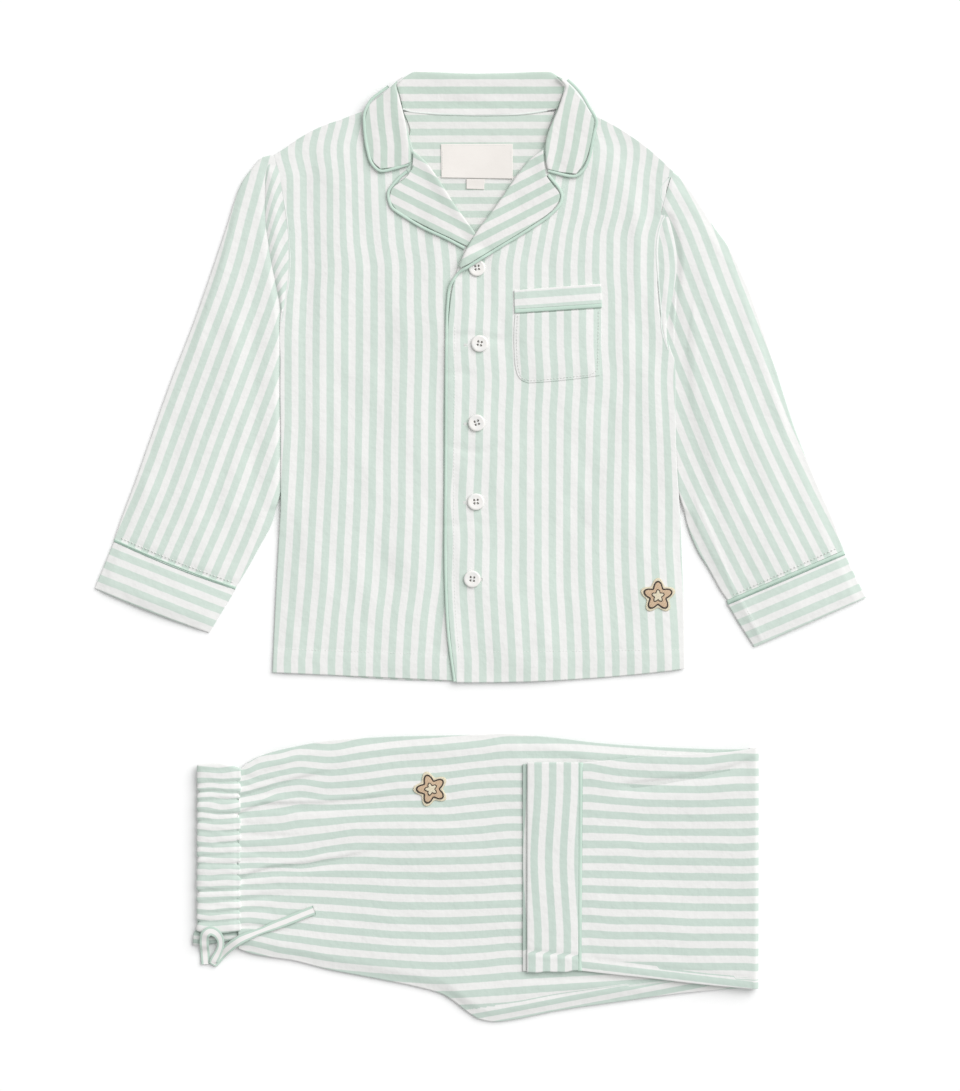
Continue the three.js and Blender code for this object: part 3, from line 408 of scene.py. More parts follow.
def to_path(x, y, path):
    """Signed distance from a path (positive on its left) and the distance run along it"""
    p = np.asarray(path, float)
    shape = np.shape(x)
    q = np.stack([np.ravel(x), np.ravel(y)], -1)
    best = np.full(len(q), 1e9)
    side = np.zeros(len(q))
    run = np.zeros(len(q))
    s = 0.0
    for k in range(len(p) - 1):
        a, d = p[k, :2], p[k + 1, :2] - p[k, :2]
        length = math.hypot(*d)
        t = ((q - a) @ d) / length**2
        lo = -1e9 if k == 0 else 0.0
        hi = 1e9 if k == len(p) - 2 else 1.0
        tc = np.clip(t, lo, hi)
        w = q - a - tc[:, None] * d
        dist = np.hypot(w[:, 0], w[:, 1])
        sign = np.sign(d[0] * (q[:, 1] - a[1]) - d[1] * (q[:, 0] - a[0]))
        hit = dist < best
        best = np.where(hit, dist, best)
        side = np.where(hit, sign * dist, side)
        run = np.where(hit, s + tc * length, run)
        s += length
    return side.reshape(shape), run.reshape(shape), s


def px(points):
    """Points of the outlines' measuring grid, in millimetres"""
    p = np.asarray(points, float)
    out = p.copy()
    out[..., 0] = (p[..., 0] - CX) * SCALE
    out[..., 1] = (CY - p[..., 1]) * SCALE
    return out


def fold(x, y, points, depth, left, right, start=6.0, end=20.0):
    """A soft trough (or ridge, if depth is negative) along a path in the measuring grid: its walls spread
    over left and right millimetres, and it fades in and out over start and end"""
    side, run, total = to_path(x, y, px(points))
    w = np.where(side > 0, left, right)
    fade = ease(-start, start * 0.4, run) * (1 - ease(total - end, total + end * 0.5, run))
    return -depth * np.exp(-((side / w) ** 2)) * fade


# ---- stripe guides ----------------------------------------------------------------------------------------
def stripe_table(table, ks, along, across):
    """Stripe count at points, from where the stripes numbered ks lie across the cloth at some places along it"""
    t = np.asarray(table, float)
    t = t[np.argsort(t[:, 0])]
    shape = np.shape(along)
    a, c = np.ravel(along), np.ravel(across)
    pos = np.stack([spline(t[:, 0], t[:, 1 + k], np.clip(a, t[0, 0], t[-1, 0])) for k in range(len(ks))], -1)
    flip = pos[0, 0] > pos[0, -1]
    if flip:
        pos, c = -pos, -c
    u = np.zeros(len(c))
    ks = np.asarray(ks, float)
    for k in range(len(ks) - 1):
        rate = (ks[k + 1] - ks[k]) / (pos[:, k + 1] - pos[:, k])
        here = ks[k] + (c - pos[:, k]) * rate
        use = c >= pos[:, k] if k else np.ones(len(c), bool)
        u = np.where(use, here, u)
    return u.reshape(shape)


FRONT_RIGHT_STRIPES = [
    (120, 292, 333, 371, 412), (150, 284, 327, 366, 424), (180, 290, 330, 367, 425), (210, 290, 330, 368, 427),
    (240, 292, 330, 370, 429), (270, 292, 331, 374, 432), (300, 290, 330, 374, 432), (340, 288, 330, 374, 434),
    (420, 288, 330, 373, 432), (460, 286, 330, 372, 432), (500, 284, 328, 372, 432), (540, 282, 326, 370, 431),
    (580, 279, 324, 368, 429), (620, 276, 320, 364, 424), (660, 273, 316, 362, 421),
]
FRONT_LEFT_STRIPES = [
    (125, 486, 556, 616, 672), (150, 484, 556, 624, 676), (180, 482, 552, 621, 672), (210, 478, 548, 616, 672),
    (240, 472, 542, 610, 665), (270, 466, 538, 610, 664), (300, 466, 538, 612, 664), (340, 464, 538, 612, 666),
    (380, 466, 540, 614, 664), (420, 465, 538, 612, 666), (460, 464, 538, 611, 668), (500, 462, 538, 610, 669),
    (540, 464, 538, 610, 669), (580, 463, 538, 611, 671), (620, 465, 540, 614, 674), (660, 468, 542, 616, 676),
]
THIGH_STRIPES = [
    (240, 773, 806, 815, 844, 855, 866, 877, 887, 898, 943, 965.5),
    (246, 772, 805, 814, 844, 855, 865.6, 876.3, 887, 897.8, 942.5, 964.85),
    (260, 766, 803, 813, 843.5, 854.5, 865.5, 874.8, 887, 897.5, 945, 968.75),
    (280, 762, 796, 812, 842, 855, 866, 873.2, 886, 898.5, 950, 975.75),
    (300, 758, 794, 808, 839.8, 854.5, 867, 873.4, 886, 899.5, 953, 979.75),
    (330, 760, 798, 807, 836, 849.1, 861.9, 873.7, 887, 901, 958, 986.5),
    (360, 756, 797, 806, 832, 846.2, 860.3, 874.2, 888, 903, 961, 990),
    (400, 751, 792, 804, 832, 847, 861.7, 875.3, 890, 906, 964, 993),
    (440, 748, 790, 804, 832, 846.4, 861, 876, 891, 906, 966, 995),
    (480, 744, 785, 800, 830, 845, 860, 875, 890, 905, 964, 993),
    (510, 740, 784, 798, 827, 842.6, 858.2, 873.8, 888, 904, 961, 991),
    (560, 740, 784, 798, 827, 842.6, 858, 872.8, 887, 903, 960, 987.5),
    (620, 744, 786, 800, 829, 844, 858.8, 872.8, 887, 902, 957, 984),
    (680, 748, 790, 803, 831, 845.4, 859.8, 873.5, 886, 900, 952, 981),
    (750, 751, 792, 805, 833, 846.9, 860.8, 874.3, 886, 900, 948, 978),
]
THIGH_KS = (1, 4, 5, 7, 8, 9, 10, 11, 12, 16, 18)
SHIN_STRIPES = [
    (590, 767, 844, 918, 964), (620, 772, 844, 920, 965), (650, 774, 846, 920, 965), (700, 775, 846, 922, 966),
    (740, 772, 847, 922, 966), (755, 772, 846, 922, 967),
]
SLEEVE_LEFT_GUIDE = [(240, 196), (237, 207), (221, 268), (194, 343), (166, 418), (143, 481), (122, 530)]
SLEEVE_RIGHT_GUIDE = [(675.8, 177), (698, 219), (724, 287), (754, 362), (782, 431), (812, 494), (835, 539)]


def grid_of(x, y):
    return np.asarray(x) / SCALE + CX, CY - np.asarray(y) / SCALE


def by_table(table, ks, upright=True):
    def at(x, y):
        gx, gy = grid_of(x, y)
        if upright:
            return stripe_table(table, ks, gy, gx), np.asarray(y, float)
        return stripe_table(table, ks, gx, gy), np.asarray(x, float)

    return at


def by_guide(guide, period, offset=0.0):
    path = smooth_path(px(guide), 8.0)

    def at(x, y):
        side, run, _ = to_path(x, y, path)
        return side / (period * SCALE) + offset, run

    return at


def by_line(point, direction, period):
    """Parallel stripes: through a point of the measuring grid, in a direction there"""
    d = np.array(direction, float)
    d /= np.hypot(*d)

    def at(x, y):
        gx, gy = grid_of(x, y)
        return ((gx - point[0]) * -d[1] + (gy - point[1]) * d[0]) / period, (
            (gx - point[0]) * d[0] + (gy - point[1]) * d[1]
        ) * SCALE

    return at


def by_centre(table, period):
    """Parallel stripes whose middle one runs through the points of a table (y, x) of the measuring grid"""
    t = np.array(table, float)

    def at(x, y):
        gx, gy = grid_of(x, y)
        return (gx - spline(t[:, 0], t[:, 1], gy)) / period, np.asarray(y, float)

    return at


grain_front_right = by_table(FRONT_RIGHT_STRIPES, (0, 3, 6, 10))
grain_front_left = by_table(FRONT_LEFT_STRIPES, (0, 5, 10, 14))
grain_thigh = by_table(THIGH_STRIPES, THIGH_KS, upright=False)
grain_shin = by_table(SHIN_STRIPES, (0, 5, 10, 13), upright=False)
grain_sleeve_left = by_guide(SLEEVE_LEFT_GUIDE, 14.6)
grain_sleeve_right = by_guide(SLEEVE_RIGHT_GUIDE, 14.3)


# ---- meshes -----------------------------------------------------------------------------------------------
class Build:
    """Collects vertices, faces and grain coordinates of one piece"""

    def __init__(self):
        self.v, self.f, self.uv, self.n = [], [], [], 0

    def add(self, verts, faces, uv=None):
        verts = np.asarray(verts, float).reshape(-1, 3)
        self.v.append(verts)
        self.uv.append(np.zeros((len(verts), 2)) if uv is None else np.asarray(uv, float).reshape(-1, 2))
        self.f.extend((np.asarray(faces) + self.n).tolist())
        self.n += len(verts)

    def piece(self, name, material, smooth=True):
        verts = np.concatenate(self.v) * MM
        uv = np.concatenate(self.uv)
        mesh = bpy.data.meshes.new(name)
        mesh.from_pydata(verts.tolist(), [], self.f)
        layer = mesh.uv_layers.new(name="grain")
        loops = np.empty(len(mesh.loops), np.int32)
        mesh.loops.foreach_get("vertex_index", loops)
        layer.data.foreach_set("uv", uv[loops].astype(np.float32).ravel())
        if smooth:
            mesh.polygons.foreach_set("use_smooth", [True] * len(mesh.polygons))
        mesh.materials.append(material)
        mesh.update()
        obj = bpy.data.objects.new(name, mesh)
        bpy.context.scene.collection.objects.link(obj)
        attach(obj, "root")
        return obj


def signed_volume(verts, faces):
    a, b, c, d = (verts[faces[:, k]] for k in range(4))
    return float(np.sum(np.cross(b - a, c - a) * a) + np.sum(np.cross(c - a, d - a) * a))


def shell(outer, inner, uv, wrap=False):
    """One closed body between two grids of points. With wrap, the grid's rows run round a tube."""
    n, m = outer.shape[:2]
    size = n * m
    idx = np.arange(size).reshape(n, m)
    if wrap:
        idx = np.concatenate([idx, idx[:, :1]], 1)
    a, b, c, d = idx[:-1, :-1], idx[:-1, 1:], idx[1:, 1:], idx[1:, :-1]
    top = np.stack([a, b, c, d], -1).reshape(-1, 4)
    faces = [top, top[:, ::-1] + size]
    first, last = idx[0], idx[-1]
    faces.append(np.stack([first[1:], first[:-1], first[:-1] + size, first[1:] + size], -1))
    faces.append(np.stack([last[:-1], last[1:], last[1:] + size, last[:-1] + size], -1))
    if not wrap:
        lo, hi = idx[:, 0], idx[:, -1]
        faces.append(np.stack([lo[:-1], lo[1:], lo[1:] + size, lo[:-1] + size], -1))
        faces.append(np.stack([hi[1:], hi[:-1], hi[:-1] + size, hi[1:] + size], -1))
    faces = np.concatenate(faces)
    verts = np.concatenate([outer.reshape(-1, 3), inner.reshape(-1, 3)])
    if signed_volume(verts, faces) < 0:
        faces = faces[:, ::-1]
    return verts, faces, np.concatenate([uv.reshape(-1, 2), uv.reshape(-1, 2)])


EDGE = np.array([0.0, 0.1, 0.3, 0.6, 1.0])  # rings that round an edge off, millimetres in from it


class Panel:
    """A fine grid over an outline of rows, with the distance of every point to the four borders"""

    def __init__(self, table, step=2.0, along_step=None, power=2.0, first_power=None, start=0.0, stop=1.0):
        t = np.asarray(table, float)
        mid = (t[:, 0:2] + t[:, 2:4]) / 2
        left = np.hypot(*np.diff(t[:, 0:2], axis=0).T)
        right = np.hypot(*np.diff(t[:, 2:4], axis=0).T)
        s = np.r_[0, np.cumsum((left + right) / 2 * 0.7 + 0.3 * np.hypot(*np.diff(mid, axis=0).T))]
        total = s[-1]
        n = max(2, int(round(total / (along_step or step))))
        inner = np.linspace(EDGE[-1], total - EDGE[-1], n + 1)
        run = np.r_[EDGE[:-1], inner, (total - EDGE[:-1])[::-1]]
        run = total * start + run * (stop - start)
        cols = [spline(s, t[:, k], run) for k in range(5)]
        lx, ly, rx, ry, bow = cols
        width = np.hypot(rx - lx, ry - ly)
        m = max(2, int(round(width.max() / step)))
        share = np.linspace(0, 1, m + 1)
        scale = np.minimum(1, width / 6)[:, None]
        e = EDGE[None, :-1] * scale
        last = EDGE[-1] * scale
        across = np.concatenate(
            [e, last + (width[:, None] - 2 * last) * share[None, :], (width[:, None] - e)[:, ::-1]], 1
        )
        f = across / width[:, None]
        p = np.full(len(run), power)
        if first_power:
            p = power + (first_power - power) * (1 - ease(0, s[1], run))
        shape = 1 - np.abs(2 * f - 1) ** p[:, None]
        push = bow[:, None] * shape / width[:, None]
        dx, dy = (rx - lx)[:, None], (ry - ly)[:, None]
        self.x = lx[:, None] + dx * f - dy * push
        self.y = ly[:, None] + dy * f + dx * push
        self.f = f
        self.left, self.right = across, width[:, None] - across
        self.run = np.repeat(run[:, None], f.shape[1], 1)
        self.first, self.last = self.run - run[0], run[-1] - self.run
        self.width = width
        self.length = total * (stop - start)

    def push(self, left=0.0, right=0.0, first=0.0, last=0.0, reach=5.0, where=1.0):
        """Moves borders outwards, so that the piece runs on under or against its neighbour"""
        vx, vy = np.gradient(self.x, axis=0), np.gradient(self.y, axis=0)
        size = np.maximum(np.hypot(vx, vy), 1e-9)
        vx, vy = vx / size, vy / size
        dx, dy = np.zeros_like(self.x), np.zeros_like(self.x)
        for amount, d, column, sign in ((left, self.left, 0, -1), (right, self.right, -1, 1)):
            if amount:
                nx, ny, lean = self.normal(column)
                near = amount * np.clip(1 - d * lean / reach, 0, 1) * where
                dx, dy = dx + sign * nx * near, dy + sign * ny * near
        for amount, d, sign in ((first, self.first, -1), (last, self.last, 1)):
            near = amount * np.clip(1 - d / reach, 0, 1) * where
            dx, dy = dx + sign * vx * near, dy + sign * vy * near
        self.x, self.y = self.x + dx, self.y + dy
        return self

    def normal(self, column):
        """Across a long border, pointing from the left border to the right one, and how much the rows lean"""
        tx, ty = np.gradient(self.x[:, column]), np.gradient(self.y[:, column])
        size = np.maximum(np.hypot(tx, ty), 1e-9)
        nx, ny = -ty / size, tx / size
        ux = (self.x[:, -1] - self.x[:, 0]) / self.width
        uy = (self.y[:, -1] - self.y[:, 0]) / self.width
        lean = nx * ux + ny * uy
        nx, ny = nx * np.sign(lean), ny * np.sign(lean)
        return nx[:, None], ny[:, None], np.maximum(np.abs(lean), 0.15)[:, None]

    def rounding(self, left=0.0, right=0.0, first=0.0, last=0.0):
        h = np.ones_like(self.x)
        for d, r in ((self.left, left), (self.right, right), (self.first, first), (self.last, last)):
            if r:
                h = h * np.sqrt(np.clip(1 - (1 - np.clip(d / r, 0, 1)) ** 2, 0, 1))
        return np.maximum(h, 0.12)

    def sheet(self, under, thick, grain, **edges):
        """The panel as cloth: its underside and its thickness are numbers or grids"""
        under = under + np.zeros_like(self.x)
        thick = thick + np.zeros_like(self.x)
        h = self.rounding(**edges)
        mid = under + thick / 2
        top = np.stack([self.x, self.y, mid + thick / 2 * h], -1)
        bottom = np.stack([self.x, self.y, mid - thick / 2 * h], -1)
        uv = np.stack(grain(self.x, self.y), -1)
        return shell(top, bottom, uv)

    def tube(self, height, grain, wall=0.8, base=0.0, ends=0.0, flank=9.0):
        """A tube pressed flat on the table, folded at both sides and open at both ends"""
        height = height + np.zeros_like(self.x)
        r = 1.0
        d = np.minimum(self.left, self.right)
        if flank:
            height = height * (0.5 + 0.5 * ease(0, flank, d))
        h = np.sqrt(np.clip(1 - (1 - np.clip(d / r, 0, 1)) ** 2, 0, 1))
        if ends:
            e = np.minimum(self.first, self.last)
            h = h * (0.72 + 0.28 * ease(0, ends, e))
        mid = base + 0.75
        top_z = mid + (base + height - mid) * h
        low_z = mid - (mid - base) * np.sqrt(np.clip(1 - (1 - np.clip(d / r, 0, 1)) ** 2, 0, 1))
        inset = wall / self.width[:, None]
        g = inset + (1 - 2 * inset) * self.f
        # inner skin: the same rows, a wall in from the folds
        ix = np.take_along_axis(self.x, np.zeros_like(self.x, int)[:, :1], 1) + 0 * self.x
        ix = np.stack([np.interp(g[k], self.f[k], self.x[k]) for k in range(len(g))])
        iy = np.stack([np.interp(g[k], self.f[k], self.y[k]) for k in range(len(g))])
        top_in = np.maximum(top_z - wall, mid)
        low_in = np.minimum(low_z + wall * 0.8, mid - 0.02)
        outer = np.concatenate(
            [np.stack([self.x, self.y, top_z], -1), np.stack([self.x, self.y, low_z], -1)[:, -2:0:-1]], 1
        )
        inner = np.concatenate(
            [np.stack([ix, iy, top_in], -1), np.stack([ix, iy, low_in], -1)[:, -2:0:-1]], 1
        )
        uv = np.stack(grain(self.x, self.y), -1)
        uv = np.concatenate([uv, uv[:, -2:0:-1]], 1)
        return shell(outer, inner, uv, wrap=True)


def ribbon(path, width, height, flat=0.0, twist=None, uv_scale=1.0, power=2.0):
    """A narrow strip along a path of points with heights; its section is a rounded bar"""
    p = np.asarray(path, float)
    along = np.gradient(p, axis=0)
    along /= np.linalg.norm(along, axis=1)[:, None]
    side = np.stack([-along[:, 1], along[:, 0], np.zeros(len(p))], -1)
    size = np.linalg.norm(side, axis=1)[:, None]
    side = side / np.maximum(size, 1e-6)
    up = np.cross(along, side)
    if twist is not None:
        c, s = np.cos(twist)[:, None], np.sin(twist)[:, None]
        side, up = side * c + up * s, up * c - side * s
    a = np.linspace(0, 2 * np.pi, 17)[:-1]
    ca, sa = np.cos(a), np.sin(a)
    ex = np.sign(ca) * np.abs(ca) ** (2 / power)
    ez = np.sign(sa) * np.abs(sa) ** (2 / power)
    w = (width + np.zeros(len(p)))[:, None, None] / 2
    h = (height + np.zeros(len(p)))[:, None, None] / 2
    ring = p[:, None] + side[:, None] * ex[None, :, None] * w + up[:, None] * ez[None, :, None] * h
    run = np.r_[0, np.cumsum(np.linalg.norm(np.diff(p, axis=0), axis=1))]
    n, m = ring.shape[:2]
    idx = np.arange(n * m).reshape(n, m)
    idx = np.concatenate([idx, idx[:, :1]], 1)
    quads = np.stack([idx[:-1, :-1], idx[:-1, 1:], idx[1:, 1:], idx[1:, :-1]], -1).reshape(-1, 4)
    verts = np.concatenate([ring.reshape(-1, 3), p[:1], p[-1:]])
    caps = []
    for end, centre in ((0, n * m), (n - 1, n * m + 1)):
        loop = idx[end]
        for j in range(0, m, 2):
            q = [centre, loop[j], loop[j + 1], loop[j + 2]]
            caps.append(q[::-1] if end else q)
    faces = np.concatenate([quads, np.array(caps)])
    if signed_volume(verts, faces) < 0:
        faces = faces[:, ::-1]
    uv = np.stack([np.repeat((0.5 + ex * 0.5)[None], n, 0), np.repeat(run[:, None] * uv_scale, m, 1)], -1).reshape(-1, 2)
    uv = np.concatenate([uv, [[0, 0], [0, run[-1]]]])
    return verts, faces, uv


def stitches(build, path, height, length=1.9, gap=1.0, thick=0.42, lift=0.16):
    """A row of stitches along a path: each is a short thread that dips into the cloth at both ends"""
    p = smooth_path(path, 0.5)
    s = np.r_[0, np.cumsum(np.hypot(*np.diff(p[:, :2], axis=0).T))]
    starts = np.arange(gap, s[-1] - length, length + gap)
    for k, at in enumerate(starts):
        t = np.array([0.0, 0.25, 0.75, 1.0]) * length + at
        x, y = np.interp(t, s, p[:, 0]), np.interp(t, s, p[:, 1])
        z = height(x, y) + np.array([-0.12, lift, lift, -0.12])
        d = np.array([x[-1] - x[0], y[-1] - y[0]])
        d /= max(np.hypot(*d), 1e-9)
        nx, ny = -d[1] * thick / 2, d[0] * thick / 2
        ring = []
        for i in range(4):
            w = 0.6 if i in (0, 3) else 1.0
            ring += [
                (x[i] + nx * w, y[i] + ny * w, z[i]),
                (x[i], y[i], z[i] + 0.2 * w),
                (x[i] - nx * w, y[i] - ny * w, z[i]),
                (x[i], y[i], z[i] - 0.15),
            ]
        faces = []
        for i in range(3):
            for j in range(4):
                a, b = 4 * i + j, 4 * i + (j + 1) % 4
                faces.append((a, a + 4, b + 4, b))
        faces += [(0, 1, 2, 3), (15, 14, 13, 12)]
        build.add(ring, faces)


# ---- camera and lights --------------------------------------------------------------------------------------
scene = bpy.context.scene
scene.view_settings.view_transform = "Standard"
scene.view_settings.look = "None"

cam_data = bpy.data.cameras.new("camera")
cam_data.sensor_width = 36
cam_data.lens = 36 * 2.396 / 0.82916
cam_data.clip_end = 20
camera = bpy.data.objects.new("camera", cam_data)
camera.location = (-0.0003, 0.00076, 2.4)
scene.collection.objects.link(camera)
scene.camera = camera

world = bpy.data.worlds.new("studio")
world.use_nodes = True
world.node_tree.nodes["Background"].inputs["Color"].default_value = (1.0, 1.0, 1.0, 1)
world.node_tree.nodes["Background"].inputs["Strength"].default_value = WORLD_LIGHT
scene.world = world


def sun_light(name, towards, power, spread):
    data = bpy.data.lights.new(name, "SUN")
    data.energy = power
    data.angle = math.radians(spread)
    light = bpy.data.objects.new(name, data)
    x, y, z = towards
    light.rotation_euler = (math.atan2(math.hypot(x, y), z), 0, math.atan2(y, x) + math.pi / 2)
    light.location = tuple(c * 2 for c in towards)
    scene.collection.objects.link(light)
    return light


# one soft source from the upper right, and the white room
sun_light("key", SUN, SUN_POWER, SUN_SPREAD)


# ---- materials ----------------------------------------------------------------------------------------------
class Nodes:
    """Short hand for a material's node tree"""

    def __init__(self, name):
        self.material = bpy.data.materials.new(name)
        self.material.use_nodes = True
        self.tree = self.material.node_tree
        self.tree.nodes.clear()
        self.shader = self.tree.nodes.new("ShaderNodeBsdfPrincipled")
        out = self.tree.nodes.new("ShaderNodeOutputMaterial")
        self.tree.links.new(self.shader.outputs[0], out.inputs[0])

    def new(self, kind, **values):
        node = self.tree.nodes.new(kind)
        for key, value in values.items():
            setattr(node, key, value)
        return node

    def put(self, target, value):
        if hasattr(value, "is_linked") or isinstance(value, bpy.types.NodeSocket):
            self.tree.links.new(value, target)
        else:
            target.default_value = value

    def math(self, kind, a, b=0.0, c=0.0):
        node = self.new("ShaderNodeMath", operation=kind)
        for socket, value in zip(node.inputs, (a, b, c)):
            self.put(socket, value)
        return node.outputs[0]

    def ramp(self, value, lo, hi, to_lo=0.0, to_hi=1.0):
        node = self.new("ShaderNodeMapRange", interpolation_type="SMOOTHSTEP")
        for socket, v in zip(node.inputs, (value, lo, hi, to_lo, to_hi)):
            self.put(socket, v)
        return node.outputs[0]

    def mix(self, factor, a, b, blend="MIX"):
        node = self.new("ShaderNodeMix", data_type="RGBA", blend_type=blend)
        self.put(node.inputs[0], factor)
        self.put(node.inputs[6], a)
        self.put(node.inputs[7], b)
        return node.outputs[2]

    def noise(self, vector, scale, detail=2.0, roughness=0.5):
        node = self.new("ShaderNodeTexNoise")
        self.put(node.inputs["Vector"], vector)
        node.inputs["Scale"].default_value = scale
        node.inputs["Detail"].default_value = detail
        node.inputs["Roughness"].default_value = roughness
        return node.outputs[0]

    def vector(self, x, y, z=0.0):
        node = self.new("ShaderNodeCombineXYZ")
        for socket, v in zip(node.inputs, (x, y, z)):
            self.put(socket, v)
        return node.outputs[0]

    def bump(self, height, strength, distance, before=None):
        node = self.new("ShaderNodeBump")
        node.inputs["Strength"].default_value = strength
        node.inputs["Distance"].default_value = distance
        self.put(node.inputs["Height"], height)
        if before is not None:
            self.put(node.inputs["Normal"], before)
        return node.outputs[0]


def linear(r, g, b):
    """A colour as it is seen on screen, out of 255, as linear light"""
    out = []
    for c in (r, g, b):
        c = c / 255
        out.append(c / 12.92 if c <= 0.04045 else ((c + 0.055) / 1.055) ** 2.4)
    return (*[v * BRIGHT for v in out], 1.0)


def cotton(name, light, dark, share=0.5, sheen=0.12, crumple=0.55, count=1.0, stripes=True):
    """Woven cotton with yarn-dyed stripes that follow the grain coordinates of each piece"""
    m = Nodes(name)
    uv = m.new("ShaderNodeUVMap", uv_map="grain").outputs[0]
    split = m.new("ShaderNodeSeparateXYZ")
    m.put(split.inputs[0], uv)
    u, v = split.outputs[0], split.outputs[1]
    place = m.new("ShaderNodeTexCoord").outputs["Object"]
    # threads: fine along the grain, and a slower drift of their tone
    thread = m.noise(m.vector(m.math("MULTIPLY", u, 26.0), m.math("MULTIPLY", v, 0.16)), 1.0, 3.0, 0.65)
    weft = m.noise(m.vector(m.math("MULTIPLY", u, 1.3), m.math("MULTIPLY", v, 2.1)), 1.0, 2.0, 0.6)
    drift = m.noise(place, 28.0, 3.0, 0.5)
    if stripes:
        wobble = m.math("MULTIPLY", m.math("SUBTRACT", m.noise(place, 260.0, 1.0), 0.5), 0.05)
        turn = m.math("MULTIPLY", m.math("ADD", m.math("MULTIPLY", u, count), wobble), 2 * math.pi)
        wave = m.math("COSINE", turn)
        level = math.cos(math.pi * share)
        factor = m.ramp(wave, level - 0.22, level + 0.22)
        base = m.mix(factor, light, dark)
    else:
        base = m.mix(m.ramp(drift, 0.3, 0.7), light, dark)
    tone = m.math(
        "ADD",
        m.math("MULTIPLY", m.math("SUBTRACT", thread, 0.5), 0.10),
        m.math(
            "ADD",
            m.math("MULTIPLY", m.math("SUBTRACT", weft, 0.5), 0.05),
            m.math("MULTIPLY", m.math("SUBTRACT", drift, 0.5), 0.035),
        ),
    )
    shade = m.math("ADD", tone, 1.0)
    rgb = m.new("ShaderNodeCombineColor")
    for socket in rgb.inputs:
        m.put(socket, shade)
    colour = m.mix(1.0, base, rgb.outputs[0], "MULTIPLY")
    m.put(m.shader.inputs["Base Color"], colour)
    weave = m.math("ADD", m.math("MULTIPLY", thread, 0.6), m.math("MULTIPLY", weft, 0.4))
    fine = m.bump(weave, 0.3, 0.0002)
    crease = m.noise(place, 150.0, 2.0, 0.55)
    m.put(m.shader.inputs["Normal"], m.bump(crease, crumple, 0.0009, fine))
    m.put(m.shader.inputs["Roughness"], m.ramp(thread, 0.2, 0.8, 0.78, 0.92))
    m.shader.inputs["Sheen Weight"].default_value = sheen
    m.shader.inputs["Sheen Roughness"].default_value = 0.5
    m.shader.inputs["Specular IOR Level"].default_value = 0.2
    return m.material


def thread_material(name, colour):
    m = Nodes(name)
    place = m.new("ShaderNodeTexCoord").outputs["Object"]
    twist = m.noise(place, 1400.0, 1.0)
    m.put(m.shader.inputs["Base Color"], m.mix(m.ramp(twist, 0.3, 0.7), colour, tuple(0.9 * c for c in colour[:3]) + (1,)))
    m.put(m.shader.inputs["Normal"], m.bump(twist, 0.3, 0.0002))
    m.put(m.shader.inputs["Roughness"], m.ramp(twist, 0.3, 0.7, 0.5, 0.7))
    m.shader.inputs["Sheen Weight"].default_value = 0.1
    return m.material


def satin_stitch(name, colour, dark, direction):
    """Embroidery in close parallel threads"""
    m = Nodes(name)
    place = m.new("ShaderNodeTexCoord").outputs["Object"]
    split = m.new("ShaderNodeSeparateXYZ")
    m.put(split.inputs[0], place)
    a, b = math.cos(direction), math.sin(direction)
    across = m.math("ADD", m.math("MULTIPLY", split.outputs[0], a), m.math("MULTIPLY", split.outputs[1], b))
    uneven = m.math("MULTIPLY", m.noise(place, 500.0, 2.0), 2.2)
    wave = m.math("SINE", m.math("ADD", m.math("MULTIPLY", across, 2 * math.pi / 0.0009), uneven))
    tone = m.noise(place, 420.0, 3.0, 0.6)
    base = m.mix(m.ramp(wave, -0.9, 0.9), dark, colour)
    m.put(m.shader.inputs["Base Color"], m.mix(m.ramp(tone, 0.35, 0.75, 0.0, 0.3), base, dark))
    m.put(m.shader.inputs["Normal"], m.bump(wave, 0.5, 0.0003))
    m.put(m.shader.inputs["Roughness"], m.ramp(tone, 0.3, 0.7, 0.5, 0.7))
    m.shader.inputs["Sheen Weight"].default_value = 0.15
    return m.material


def pearl(name):
    m = Nodes(name)
    place = m.new("ShaderNodeTexCoord").outputs["Object"]
    cloud = m.noise(place, 210.0, 3.0, 0.6)
    warm, cool = linear(250, 247, 243), linear(240, 240, 238)
    m.put(m.shader.inputs["Base Color"], m.mix(m.ramp(cloud, 0.35, 0.7), warm, cool))
    m.put(m.shader.inputs["Roughness"], m.ramp(cloud, 0.3, 0.7, 0.2, 0.34))
    m.put(m.shader.inputs["Normal"], m.bump(cloud, 0.06, 0.0004))
    m.shader.inputs["Coat Weight"].default_value = 0.35
    m.shader.inputs["Coat Roughness"].default_value = 0.12
    return m.material


SHIRT = cotton("shirt_stripe", linear(240, 240, 238), linear(211, 225, 216), share=0.51)
SEAM = cotton("seam_white", linear(240, 242, 239), linear(222, 232, 226), stripes=False, crumple=0.3)
COLLAR = cotton("collar_stripe", linear(238, 237, 235), linear(202, 218, 207))
FACING = cotton("facing_stripe", linear(236, 236, 233), linear(206, 220, 210))
TROUSER = cotton("trouser_stripe", linear(238, 238, 236), linear(203, 218, 209), share=0.51, sheen=0.12)
# the trousers' stripes a shade darker: painted shade for the folded layers that lie under the top one
SHADE = cotton("hidden_layer_painted_shade_stripe", linear(226, 228, 225), linear(190, 206, 197))
TAPE = cotton("drawstring_stripe", linear(244, 242, 240), linear(196, 216, 204), crumple=0.15)
PIPING = cotton("piping_mint", linear(206, 227, 214), linear(196, 218, 205), stripes=False, crumple=0.2)
LABEL = cotton("label_satin", linear(246, 241, 236), linear(240, 235, 230), stripes=False, sheen=0.05, crumple=0.12)
THREAD = thread_material("thread_white", linear(243, 244, 241))
THREAD_GREEN = thread_material("thread_green", linear(200, 219, 208))
# deep green: painted shadow of the crease between each shirt cuff and its piping
CUFF_SEAM_PAINTED_SHADOW = thread_material("painted_seam_shadow_green", linear(150, 178, 165))
# dark grey: painted shade for the deep holes of the buttons
HOLE_PAINTED_SHADE_GREY = thread_material("button_hole_painted_shade", linear(112, 104, 98))
PEARL = pearl("button_pearl")
